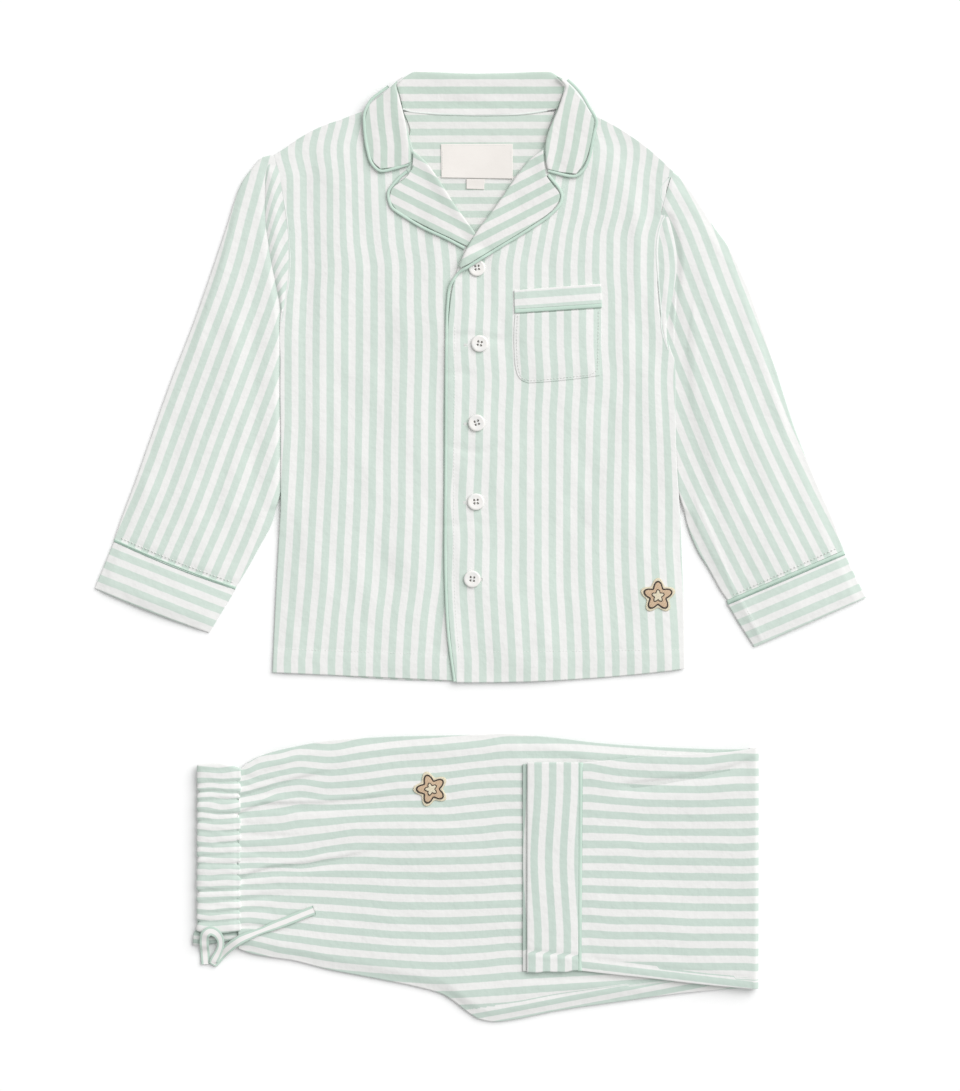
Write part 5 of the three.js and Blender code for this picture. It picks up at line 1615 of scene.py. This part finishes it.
sr_left = sr.left * sr.normal(0)[2]
sr.push(left=3.0, where=beside, reach=8.0).push(first=1.6).push(last=1.9)
near = ease(0, 8, np.minimum(sr.left, sr.right)) * ease(0, 6, sr.last)
h = sleeve_height(sr, 35) + right_sleeve_folds(sr.x, sr.y) * near
h = 1.45 + (h - 1.45) * ease(0, 11, np.minimum(sr.right, sr.left + 60 * beside))
h = h + (2.1 - h) * (1 - ease(2.5, 15, sr_left)) * beside
h = h - (h - 1.9) * under_flap(sr.x, sr.y, CREASE_RIGHT, -1)
h = h - 0.3 * np.exp(-(((sr.last - 1.9) / 1.1) ** 2))
sr_top = 0.05 + h
flap = Panel(FLAP_RIGHT, step=1.3)
flap_top = 2.0 + 0.55 * np.sin(np.pi * np.clip(flap.f, 0, 1)) + 0.2 * (1 - flap.f)
flap_z = 1.2 + (flap_top - 2.0) * ease(0, 10, flap.run) + 0.2 * wander(flap.x, flap.y, (5, 12), 34) * ease(0, 3, np.minimum(flap.left, flap.right))
sleeve_right = part(
    "sleeve_right_cloth",
    SHIRT,
    [
        sr.tube(h, grain_sleeve_right, base=0.05, ends=3.0, flank=0),
        flap.sheet(flap_z, 0.8, grain_flap_right, left=0.3, right=0.8, first=0.4, last=0.4),
    ],
)


# seams stand up a little where the pieces are joined
def seam_ridge(name, points, z_at, width=1.2, height=0.6, material=None, lift=-0.2):
    p = smooth_path(px(points), 1.0)
    z = z_at(p[:, 0], p[:, 1]) + lift + 0.08 * wander(p[:, 0], p[:, 1], 4, 91)
    return part(name, material or SEAM, [ribbon(np.stack([p[:, 0], p[:, 1], z], -1), width, height, power=2.0)])


seam_left = small(seam_ridge("seam_armhole_left", [(276.4, 162)] + ARMHOLE_LEFT[2:], lambda x, y: 2.15 + 0.9 * ease(286, 268, y)))
seam_right = small(seam_ridge("seam_armhole_right", [(669, 177)] + ARMHOLE_RIGHT[1:], lambda x, y: 2.2 + 0.25 * ease(275, 255, y)))
seam_neck = small(
    seam_ridge("seam_neck", [(402.5, 108.5), (411, 111.2), (428, 113), (445, 114), (478, 114.6), (512, 114.2), (532, 112.6), (548, 110)], lambda x, y: 2.35 + 0 * x, 1.4, 0.8),
)


def cuff_grain(table, offset, period=14.6):
    """Stripes that run round the cuff, counted from its straight seam line"""
    r = table[0]
    d = np.array([r[2] - r[0], r[3] - r[1]])
    d /= np.hypot(*d)

    def at(x, y):
        depth = (x - r[0]) * d[1] - (y - r[1]) * d[0]
        return (depth / SCALE - offset) / period, (x - r[0]) * d[0] + (y - r[1]) * d[1]

    return at


def on_grid(panel, z):
    """Height of a piece's top at any place, from the nearest point of its grid"""

    def at(x, y):
        x, y = np.atleast_1d(x), np.atleast_1d(y)
        near = [np.argmin((panel.x - a) ** 2 + (panel.y - b) ** 2) for a, b in zip(x, y)]
        return z.ravel()[near]

    return at


CUFF_SEAM_RIGHT = [(739.6, 599), (751, 620), (762.9, 641.8)]


def cuff(name, table, grain, seed, node, seam=None):
    p = Panel(table, step=1.5).push(first=0.9)
    h = 2.9 + 1.1 * np.sin(np.pi * np.clip(p.f, 0, 1)) ** 2 + 0.2 * wander(p.x, p.y, 14, seed)
    h = h - 0.3 * np.exp(-(((p.first - 2.2) / 0.9) ** 2))
    h = h * (0.7 + 0.3 * ease(0, 9, p.last))
    if seam:
        h = h + fold(p.x, p.y, seam, -0.4, 0.8, 1.1, 2, 1)
    top = 0.05 + h * (0.5 + 0.5 * ease(0, 9, np.minimum(p.left, p.right)))
    return p, top, part(name, SHIRT, [p.tube(h, grain, base=0.05, ends=0.8)])


cl, cl_top, cuff_left = cuff("cuff_left_cloth", CUFF_LEFT, cuff_grain(CUFF_LEFT, 9.9), 41, "cuff_left")
cr, cr_top, cuff_right = cuff("cuff_right_cloth", CUFF_RIGHT, cuff_grain(CUFF_RIGHT, 6.0), 43, "cuff_right", CUFF_SEAM_RIGHT)


def cuff_pipe(name, table, node):
    p = Panel(table, step=2.0).push(first=-1.0, last=0.1, reach=1.5)
    h = 3.0 + 1.0 * np.sin(np.pi * np.clip(p.f, 0, 1)) ** 2
    obj = part(name, PIPING, [p.tube(h, by_line((0, 0), (1, 0), 3.0), base=0.05, ends=0.9)])
    return small(obj, (node,))


pipe_cl = cuff_pipe("piping_cuff_left_cord", CUFF_PIPING_LEFT, "piping_cuff_left")
pipe_cr = cuff_pipe("piping_cuff_right_cord", CUFF_PIPING_RIGHT, "piping_cuff_right")

# a thin deep green strip in each cuff seam: painted shadow of the crease under the piping
cuff_left_seam_painted_shadow = small(
    seam_ridge("cuff_left_seam_painted_shadow", [(113.4, 541.2), (143.3, 554.6), (173.5, 567.1), (204.1, 578.6), (235, 589.2)], on_grid(cl, cl_top), 0.6, 0.5, CUFF_SEAM_PAINTED_SHADOW, 0.1),
)
cuff_right_seam_painted_shadow = small(
    seam_ridge("cuff_right_seam_painted_shadow", [(727.9, 604.5), (757.3, 592), (786.7, 579.5), (816.1, 567), (845.5, 554.5)], on_grid(cr, cr_top), 0.6, 0.5, CUFF_SEAM_PAINTED_SHADOW, 0.1),
)

# ---- stitch rows of the shirt -----------------------------------------------------------------------------------------


def line_of(panel, which, inset, lo=0.0, hi=1.0, count=60):
    """Points along a border of a panel, a little in from it"""
    i = np.linspace(0, panel.x.shape[0] - 1, count).round().astype(int)
    out = []
    if which in ("left", "right"):
        total = panel.length
        for k in i:
            s = panel.run[k, 0] / total
            if s < lo or s > hi:
                continue
            d = panel.left[k] if which == "left" else panel.right[k]
            order = np.argsort(d)
            out.append((np.interp(inset, d[order], panel.x[k][order]), np.interp(inset, d[order], panel.y[k][order])))
    else:
        for j in np.linspace(0, panel.x.shape[1] - 1, count).round().astype(int):
            if panel.f[0, j] < lo or panel.f[0, j] > hi:
                continue
            d = panel.first[:, j] if which == "first" else panel.last[:, j]
            order = np.argsort(d)
            out.append((np.interp(inset, d[order], panel.x[order, j]), np.interp(inset, d[order], panel.y[order, j])))
    return out


def top_of(obj_fn):
    return lambda x, y: obj_fn(np.asarray(x), np.asarray(y))


row = Build()
stitches(row, line_of(sl, "last", 1.9, 0.03, 0.97, 80), on_grid(sl, sl_top), 1.6, 1.2, 0.7, 0.34)
stitches(row, line_of(sr, "last", 1.9, 0.03, 0.97, 80), on_grid(sr, sr_top), 1.6, 1.2, 0.7, 0.34)
stitches(row, px([(741.4, 599.5), (752.6, 620), (764.2, 641)]), on_grid(cr, cr_top), 1.1, 0.7, 0.34, 0.0)
stitch_sleeves = small(row.piece("stitches_sleeves", THREAD))

hem_z = top_of(lambda x, y: left_top(x, y) + 0.02)
row = Build()
stitches(row, line_of(fr, "last", 19.0, 0.02, 0.985), top_of(lambda x, y: front_base(x, y) + CLOTH), 1.6, 0.9, 0.34, 0.0)
stitches(row, line_of(fl, "last", 19.0, 0.02, 0.99), hem_z, 1.6, 0.9, 0.34, 0.0)
stitches(row, line_of(fl, "left", 4.9, 0.44, 0.985, 120), top_of(lambda x, y: left_top(x, y) + 0.22), 1.6, 0.9, 0.34, 0.0)
stitch_body = small(row.piece("stitches_body", THREAD))

row = Build()
pocket_top = top_of(lambda x, y: left_top(x, y) + 0.2 + CLOTH + 0.05)
outline = line_of(pk, "left", 2.2, 0.0, 0.93, 40) + line_of(pk, "last", 2.2, 0.1, 0.9, 30) + line_of(pk, "right", 2.2, 0.0, 0.9, 40)[::-1]
stitches(row, outline, pocket_top, 1.6, 0.9, 0.34, 0.0)
stitches(row, line_of(pb, "left", 1.6, 0.05, 0.95, 12), top_of(lambda x, y: left_top(x, y) + 1.35), 1.6, 0.9, 0.34, 0.0)
stitches(row, line_of(pb, "right", 1.6, 0.05, 0.95, 12), top_of(lambda x, y: left_top(x, y) + 1.35), 1.6, 0.9, 0.34, 0.0)
stitch_pocket = small(row.piece("stitches_pocket", THREAD))

row = Build()
stitches(row, line_of(label, "left", 1.2, 0.05, 0.95, 12), top_of(lambda x, y: 2.9 + 0 * x), 1.3, 0.8, 0.3, 0.0)
stitches(row, line_of(label, "right", 1.2, 0.05, 0.95, 12), top_of(lambda x, y: 2.9 + 0 * x), 1.3, 0.8, 0.3, 0.0)
stitches(row, line_of(label, "first", 1.2, 0.03, 0.97, 20), top_of(lambda x, y: 2.86 + 0 * x), 1.3, 0.8, 0.3, 0.0)
stitch_label = small(row.piece("stitches_label", THREAD))

cloth_piece(front_right, ("shirt_front_right",))
cloth_piece(
    front_left, ("shirt_front_left",),
)
cloth_piece(neck_facing, ("neck_facing",))
cloth_piece(neck_label, ("neck_label",))
cloth_piece(size_tab, ("size_tab",))
cloth_piece(collar_back, ("collar_back",))
cloth_piece(wing_left, ("collar_wing_left",))
cloth_piece(wing_right, ("collar_wing_right",))
cloth_piece(lapel_left, ("lapel_left",))
cloth_piece(lapel_right, ("lapel_right",))
cloth_piece(pocket, ("pocket",))
cloth_piece(pocket_band, ("pocket_band",))
cloth_piece(sleeve_left, ("sleeve_left",))
cloth_piece(sleeve_right, ("sleeve_right",))
cloth_piece(cuff_left, ("cuff_left",))
cloth_piece(cuff_right, ("cuff_right",))

# ---- trousers -----------------------------------------------------------------------------------------------------------
CORE_THIGH, CORE_SHIN = 2.6, 2.2
WAIST = THIGH[0][0]
FOLD = SHIN[-1][0]
GATHER_Y = [775, 784, 823, 834, 848, 861, 889, 901, 913, 938]


# the seam at the fork: below it lies the back of the leg, cut at a slant to the stripes
INNER_SEAM = [(452, 1012), (480, 1007.5), (500, 1004.5), (530, 999), (560, 994.5), (600, 988.5), (640, 984), (690, 980)]
fork_stripes = by_line((560, 1000.5), (1, -0.19), 11.0)


def grain_leg(x, y):
    u, run = grain_thigh(x, y)
    gx, gy = grid_of(x, y)
    seam = np.interp(gx, [a for a, b in INNER_SEAM], [b for a, b in INNER_SEAM])
    lower = (gy > seam) & (gx > 448)
    return np.where(lower, fork_stripes(x, y)[0] + 20, u), run


def thigh_folds(x, y):
    z = fold(x, y, [(239, 797), (262, 791), (291, 782), (330, 771)], 1.5, 1.6, 4.5, 2, 30)
    z = z + fold(x, y, [(239, 815), (250, 810), (263, 805), (318, 805), (358, 801), (392, 796)], 1.5, 1.6, 5.0, 2, 40)
    z = z + fold(x, y, [(239, 879), (269, 869), (306.5, 865), (342, 859), (366, 852)], 1.6, 1.5, 5.0, 2, 34)
    z = z + fold(x, y, [(239, 792), (262, 786), (291, 777), (330, 766)], -0.6, 2.4, 2.8, 2, 30)
    z = z + fold(x, y, [(239, 810), (250, 805), (263, 800), (318, 800), (358, 796), (392, 791)], -0.6, 2.4, 2.8, 2, 40)
    z = z + fold(x, y, [(239, 874), (269, 864), (306.5, 860), (342, 854), (366, 847)], -0.65, 2.4, 2.8, 2, 34)
    z = z + fold(x, y, [(239, 926), (256, 926), (276, 929)], 0.8, 1.8, 2.4, 2, 14)
    z = z + fold(x, y, [(528, 975), (560, 976), (600, 978), (640, 981), (690, 984)], 0.8, 2.5, 3.5, 4, 24)
    z = z + fold(x, y, INNER_SEAM, 0.45, 1.3, 1.8, 8, 20)
    z = z + fold(x, y, [(239, 901), (262, 896), (296, 893)], 0.5, 2.0, 3.0, 2, 24)
    z = z + fold(x, y, [(239, 851), (262, 854), (300, 852)], 0.6, 1.8, 2.4, 2, 24)
    z = z + fold(x, y, [(239, 783), (262, 773), (300, 760), (340, 752)], 0.5, 2.0, 3.0, 2, 40)
    for k, gy in enumerate(GATHER_Y):
        reach = (40, 56, 34, 62, 40, 30, 58, 44, 36, 50)[k]
        tilt = (gy - 850) * -0.0016
        z = z + fold(x, y, [(239, gy), (239 + reach * 0.5, gy + tilt * reach * 60 * 0.02), (239 + reach, gy + tilt * reach)], 0.45, 1.8, 2.4, 2, 16)
    z = z + fold(x, y, [(300, 840), (380, 830), (460, 838)], -0.5, 16, 16, 40, 60)
    z = z + fold(x, y, [(330, 905), (400, 880), (470, 900)], 0.4, 14, 14, 40, 50)
    z = z + fold(x, y, [(528, 752), (556, 756), (586, 763)], 0.9, 3.5, 5.0, 10, 14)
    z = z + fold(x, y, [(455, 1000), (500, 988), (560, 985), (640, 983)], -0.3, 5, 5, 20, 40)
    z = z + 0.28 * wander(x, y, (60, 20), 51) + 0.14 * wander(x, y, (24, 9), 52)
    return z


def thigh_under(x, y):
    return CORE_THIGH + GAP + 0.35 + 0.9 * np.exp(-np.maximum(x - WAIST, 0) / 26)


def take(table, lo, hi):
    mid = (table[:, 0] + table[:, 2]) / 2
    return table[(mid >= lo) & (mid <= hi)]


def layers(table, base, height, count, inset, grain, step=4.6, thin=0.0, reach=0.0):
    """Folded layers lying under the one that shows: each is a sheet with rounded edges"""
    out = []
    each = height / count
    for k in range(count):
        t = table.copy()
        d = np.stack([t[:, 2] - t[:, 0], t[:, 3] - t[:, 1]], -1)
        d /= np.hypot(d[:, 0], d[:, 1])[:, None]
        shift = inset + 0.35 * (count - 1 - k)
        t[:, 0:2] += d * shift
        t[:, 2:4] -= d * shift
        p = Panel(t, step=step)
        low = 1 - thin * (1 - ease(0, 11, np.minimum(p.left, p.right)))
        if reach:
            p.push(first=reach, reach=8.0)
        out.append(p.sheet(base + (k * each + 0.04) * low, (each - 0.1) * low, grain, left=0.5, right=0.5, first=0.5, last=0.5))
    return out


thigh_rows = take(THIGH, WAIST - 1, FOLD - 6)
hidden_thigh = part(
    "trousers_hidden_cloth", SHADE, layers(thigh_rows[(np.arange(len(thigh_rows)) % 2 == 0) | (np.arange(len(thigh_rows)) > 8)], 0.0, CORE_THIGH, 3, 0.7, grain_thigh, thin=0.64, reach=2.5)
)
th = Panel(thigh_rows, step=1.7, along_step=2.0).push(first=2.2, reach=7.0)
rim = ease(0, 7, np.minimum(th.left, th.right))
th_z = thigh_under(th.x, th.y) + thigh_folds(th.x, th.y) * (0.25 + 0.75 * rim)
covered = ease(CUFFX, CUFFX + 6, th.x) * ease(0, 4, th.left - 0) * (1 - np.where(th.y < SHIN_LOW, 0, 0))
under_leg = (th.x > CUFFX) & (th.y < SHIN_TOP) & (th.y > SHIN_LOW)
th_z = np.where(under_leg, np.minimum(th_z, CORE_THIGH + GAP + 0.35), th_z)
th_z = np.maximum(th_z, CORE_THIGH + 0.1)
th_z = th_z - (CORE_THIGH * 0.64 + 0.3) * (1 - ease(0, 11, np.minimum(th.left, th.right)))
leg_upper = part(
    "leg_left_upper_cloth", TROUSER, [th.sheet(th_z, CLOTH, grain_leg, left=1.0, right=1.0, first=0.4, last=0.6)]
)

shin_base = CORE_THIGH + GAP + WALL + GAP
hidden_shin = part("lower_legs_hidden_cloth", SHADE, layers(SHIN[:-1], shin_base + 0.02, CORE_SHIN, 3, 0.9, grain_shin))
shin_top = shin_base + CORE_SHIN + GAP + WALL


def shin_folds(x, y):
    z = fold(x, y, [(628, 785), (655, 782), (692, 777), (733, 767), (759, 756)], 1.5, 1.8, 6.0, 14, 4)
    z = z + fold(x, y, [(636, 800), (690, 796), (745, 786)], -0.4, 8, 8, 20, 20)
    z = z + fold(x, y, [(600, 870), (680, 880), (745, 868)], 0.3, 12, 12, 30, 30)
    z = z + fold(x, y, [(590, 930), (660, 922), (740, 934)], -0.25, 12, 12, 30, 30)
    z = z + fold(x, y, [(592, 958), (640, 964), (700, 972), (756, 979)], 0.5, 1.4, 3.2, 10, 6)
    return z + 0.26 * wander(x, y, (50, 20), 61) + 0.14 * wander(x, y, (20, 9), 62)


# along its lower border the leg turns a little towards the viewer, and its stripes slant
leg_turn = by_line((590, 965), (1, 0.12), 13.0)


def grain_lower_leg(x, y):
    u, run = grain_shin(x, y)
    gx, gy = grid_of(x, y)
    return np.where(gy > 958 + (gx - 590) * 0.13, leg_turn(x, y)[0] + 13, u), run


def folded_leg():
    """The layer that shows comes round the fold at the end and runs a little way back under the rest"""
    p = Panel(SHIN[:-1], step=1.7, along_step=2.2).push(first=0.9)
    last = Panel(SHIN[-2:], step=1.7, along_step=2.2)
    last_row = SHIN[-1]
    radius = shin_top / 2
    rim = ease(0, 6, np.minimum(p.left, p.right))
    top_a = shin_top - 0.1 + shin_folds(p.x, p.y) * rim * ease(0, 8, p.first) - 0.5 * (1 - rim)
    stations = []

    def row_at(q, k):
        return q.x[k], q.y[k]

    share = None
    grids_o, grids_i, uvs = [], [], []
    m = p.x.shape[1]
    f = p.f[0]
    for k in range(p.x.shape[0] - 4):
        x, y = p.x[k], p.y[k]
        z = top_a[k]
        grids_o.append(np.stack([x, y, z], -1))
        grids_i.append(np.stack([x, y, z - CLOTH], -1))
        uvs.append(np.stack(grain_lower_leg(x, y), -1))
    x0, y0 = grids_o[-1][:, 0], grids_o[-1][:, 1]
    lx, ly, rx, ry = last_row[:4]
    ex, ey = lx + (rx - lx) * f, ly + (ry - ly) * f
    gap = ex - x0
    steps = max(3, int(round(gap.mean() / 2.2)))
    for k in range(1, steps):
        t = k / steps
        x, y = x0 + (ex - radius - x0) * t, y0 + (ey - y0) * t
        wave = shin_folds(x, y) * ease(0, 6, np.minimum(f, 1 - f) * 173) * (1 - ease(0.6, 1.0, t) * 0.7)
        z = shin_top - 0.1 + wave - 0.5 * (1 - ease(0, 6, np.minimum(f, 1 - f) * 173))
        grids_o.append(np.stack([x, y, z], -1))
        grids_i.append(np.stack([x, y, z - CLOTH], -1))
        uvs.append(np.stack(grain_lower_leg(x, y), -1))
    end_z = grids_o[-1][:, 2]
    edge_uv = np.stack(grain_lower_leg(ex, ey), -1)
    arc = 14
    for k in range(arc + 1):
        a = math.pi / 2 - math.pi * k / arc
        r = radius + (end_z - shin_top) * 0.5 * (1 - k / arc)
        x = ex - radius + r * math.cos(a)
        z = radius + r * math.sin(a)
        grids_o.append(np.stack([x, ey, z], -1))
        grids_i.append(np.stack([x - CLOTH * math.cos(a), ey, z - CLOTH * math.sin(a)], -1))
        uvs.append(edge_uv + [0, radius * math.pi * k / arc])
    for back in (2.0, 3.4):
        x = ex - radius - back
        grids_o.append(np.stack([x, ey, 0 * x + 0.02], -1))
        grids_i.append(np.stack([x, ey, 0 * x + CLOTH], -1))
        uvs.append(edge_uv + [0, radius * math.pi + back])
    outer, inner, uv = np.array(grids_o), np.array(grids_i), np.array(uvs)
    # round the long borders off
    width = np.linalg.norm(outer[:, -1] - outer[:, 0], axis=1)[:, None]
    d = np.minimum(f, 1 - f)[None] * width
    h = np.maximum(np.sqrt(np.clip(1 - (1 - np.clip(d / 1.0, 0, 1)) ** 2, 0, 1)), 0.12)[:, :, None]
    mid = (outer + inner) / 2
    outer, inner = mid + (outer - mid) * h, mid + (inner - mid) * h
    return shell(outer, inner, uv)


leg_lower = part("leg_right_lower_cloth", TROUSER, [folded_leg()])

cuff_across = [(760, 538), (780, 538), (860, 534), (940, 538), (975, 538)]
cuff_stripes = by_centre(cuff_across, 14.6)


def grain_cuff(x, y):
    u, run = cuff_stripes(x, y)
    gx, gy = grid_of(x, y)
    return u + 0.42 * ease(-1.2, 1.2, gy - (950.5 + (gx - 527) * 0.09)), run



under_cuff = part(
    "trouser_cuff_under_cloth", SHADE, layers(CUFF_UNDER, shin_base, 1.5, 2, 0.0, grain_cuff, step=2.0)
)
cu = Panel(CUFF_UPPER, step=1.7).push(last=0.9, reach=4.0)
cu_base = shin_base + 1.5 + GAP
cu_top = shin_top - cu_base
cu_thick = cu_top + 0.1 + 0.18 * wander(cu.x, cu.y, (16, 14), 71) - 0.25 * (1 - ease(0, 7, np.minimum(cu.first, cu.last)))
cgx, cgy = grid_of(cu.x, cu.y)
seam_off = (cgy - (950.5 + (cgx - 527) * 0.09)) * SCALE
inseam = -0.75 * np.exp(-((seam_off / 1.1) ** 2)) + 0.3 * np.exp(-(((seam_off - 3.0) / 2.0) ** 2))
inseam = inseam + 0.22 * wander(cu.x, cu.y, (3.4, 9), 77) * np.exp(-((seam_off / 5.0) ** 2))
cu.y = cu.y + 0.7 * wander(cu.x, 0 * cu.y, (7, 7), 78) * np.clip(1 - cu.right / 5, 0, 1)
upper_cuff = part(
    "trouser_cuff_upper_cloth",
    TROUSER,
    [cu.sheet(cu_base + 0.02, cu_thick + inseam, grain_cuff, left=0.9, right=0.9, first=1.3, last=0.2)],
)
lp = Panel(LEG_PIPING, step=1.7)
leg_pipe = small(
    part(
        "piping_leg_cord",
        PIPING,
        [lp.sheet(shin_top - 1.6, 1.75 + 0.08 * wander(lp.x, lp.y, (20, 5), 73), by_line((580, 762), (0, 1), 3.0), left=1.0, right=1.0, first=1.4, last=1.4)],
    ),
    ("piping_leg",),
)

# waistband: elastic inside gathers it into ribs across its width
wb = Panel(WAISTBAND, step=1.2, along_step=1.6)
BAND_CENTRES = (758, 769, 781, 791, 801, 811, 820.5, 832.5, 844, 855, 866, 877, 889.5, 900, 911, 921, 934, 942, 953)
BAND_CREASES = [
    (783, 781, 0.5), (791, 793, 1.0), (801, 799, 0.8), (811, 813.5, 0.8), (821, 817, 0.6), (832, 830, 0.6), (846, 841, 0.7),
    (857, 851.5, 0.6), (864, 863, 1.0), (874, 874, 0.5), (891, 889, 0.9), (902, 899, 0.7), (912, 909, 0.6), (921, 918.5, 1.0),
]
gx, gy = grid_of(wb.x, wb.y)
across = np.clip((gx - 195) / 45, 0, 1)
bend = 1.6 * wander(gx, gy, (24, 26), 81) * np.sin(np.pi * across)
rib = np.zeros_like(gx)
for k, (at_left, at_right, deep) in enumerate(BAND_CREASES):
    off = gy - bend - (at_left + (at_right - at_left) * across)
    # a crease is deepest at the two seams of the elastic and fades between them
    fade = 0.55 + 0.45 * np.abs(2 * across - 1 + (0.5, -0.5, 0.2)[k % 3]) ** 1.5
    rib -= 1.5 * deep * fade * np.exp(-((off / np.where(off > 0, 2.8, 0.85)) ** 2))
rib = rib + 0.2 * wander(wb.x, wb.y, (20, 2.4), 84) + 0.14 * wander(wb.x, wb.y, (7, 1.6), 85)
rib = rib * (1 + 0.5 * (1 - ease(0, 4, wb.last)))
crown = 0.9 * (1 - ((wb.run / wb.length) * 2 - 1) ** 4)
channel = -0.5 * np.exp(-(((wb.last - 2.2) / 1.1) ** 2)) - 0.3 * np.exp(-(((wb.first - 3.0) / 1.1) ** 2))
wb_top = 2.6 + 0.9 + crown * 0.6 + rib + channel * (1 + 0.3 * rib) - 0.7 * (1 - ease(0, 4, wb.first))
# the ribs pucker both borders of the band
corner = 1 - ease(0, 6, np.minimum(wb.run, wb.length - wb.run))
wb.x = wb.x + 2.4 * corner**2 * np.clip(1 - wb.first / 7, 0, 1)
wb.x = wb.x + (0.95 * rib + 1.0) * (np.clip(1 - wb.first / 6, 0, 1) * -1 + np.clip(1 - wb.last / 6, 0, 1)) - 0.4 * np.clip(1 - wb.last / 5, 0, 1)


def grain_band(x, y):
    gx, gy = grid_of(x, y)
    across = np.clip((gx - 195) / 45, 0, 1)
    shift = 1.6 * wander(gx, gy, (24, 26), 81) * np.sin(np.pi * across) + 1.5 * wander(gx, gy, (20, 18), 83) + 0.6 * np.sin(math.pi * across) - 0.4
    return np.interp(gy - shift, BAND_CENTRES, np.arange(len(BAND_CENTRES)) - 1.0), np.asarray(x, float)


waistband = part(
    "waistband_cloth",
    TROUSER,
    [wb.sheet(2.6 + GAP, np.maximum(wb_top, 1.2), grain_band, left=1.4, right=1.4, first=1.3, last=1.0)],
)
wu = Panel(WAISTBAND_UNDER, step=2.0).push(last=2.0)
wu.push(first=-3.2, where=ease(936, 926, grid_of(wu.x, wu.y)[1]))
ugx, ugy = grid_of(wu.x, wu.y)
under_rib = -0.5 * (0.5 + 0.5 * np.cos(2 * math.pi * ugy / 5.2)) * ease(925, 933, ugy)
waist_under = part(
    "waistband_under_cloth",
    SHADE,
    [wu.sheet(0.04, 2.45 + under_rib + 1.3 * ease(932, 936, ugy) * (1 - ease(940, 946, ugy)), grain_band, left=1.2, right=1.2, first=1.2, last=0.5)],
)

trouser_star = star_patch(
    "patch_trousers_star", STARS["trousers"], math.pi, lambda x, y: thigh_under(x, y) + thigh_folds(x, y) + CLOTH, "patch_trousers"
)

row = Build()
sx = np.linspace(0, 1, 80)
edge = WAISTBAND[-1]
pts = np.stack([edge[0] - 1.6 + 0 * sx, edge[1] + (edge[3] - edge[1]) * sx], -1)
stitches(row, pts[2:-2], lambda x, y: np.interp(y, wb.y[-6][::-1], (2.9 + np.maximum(wb_top, 1.2))[-6][::-1]) + 0 * x, 1.2, 1.4, 0.3, -0.12)
stitch_waist = small(row.piece("stitches_waistband", THREAD_GREEN))

cloth_piece(hidden_thigh, ("trousers_hidden_layers",))
cloth_piece(leg_upper, ("leg_left_upper",))
cloth_piece(hidden_shin, ("lower_legs_hidden_layers",))
cloth_piece(leg_lower, ("leg_right_lower",))
cloth_piece(under_cuff, ("trouser_cuff_under",))
cloth_piece(upper_cuff, ("trouser_cuff_upper",))
cloth_piece(waistband, ("waistband",))
cloth_piece(waist_under, ("waistband_under",))
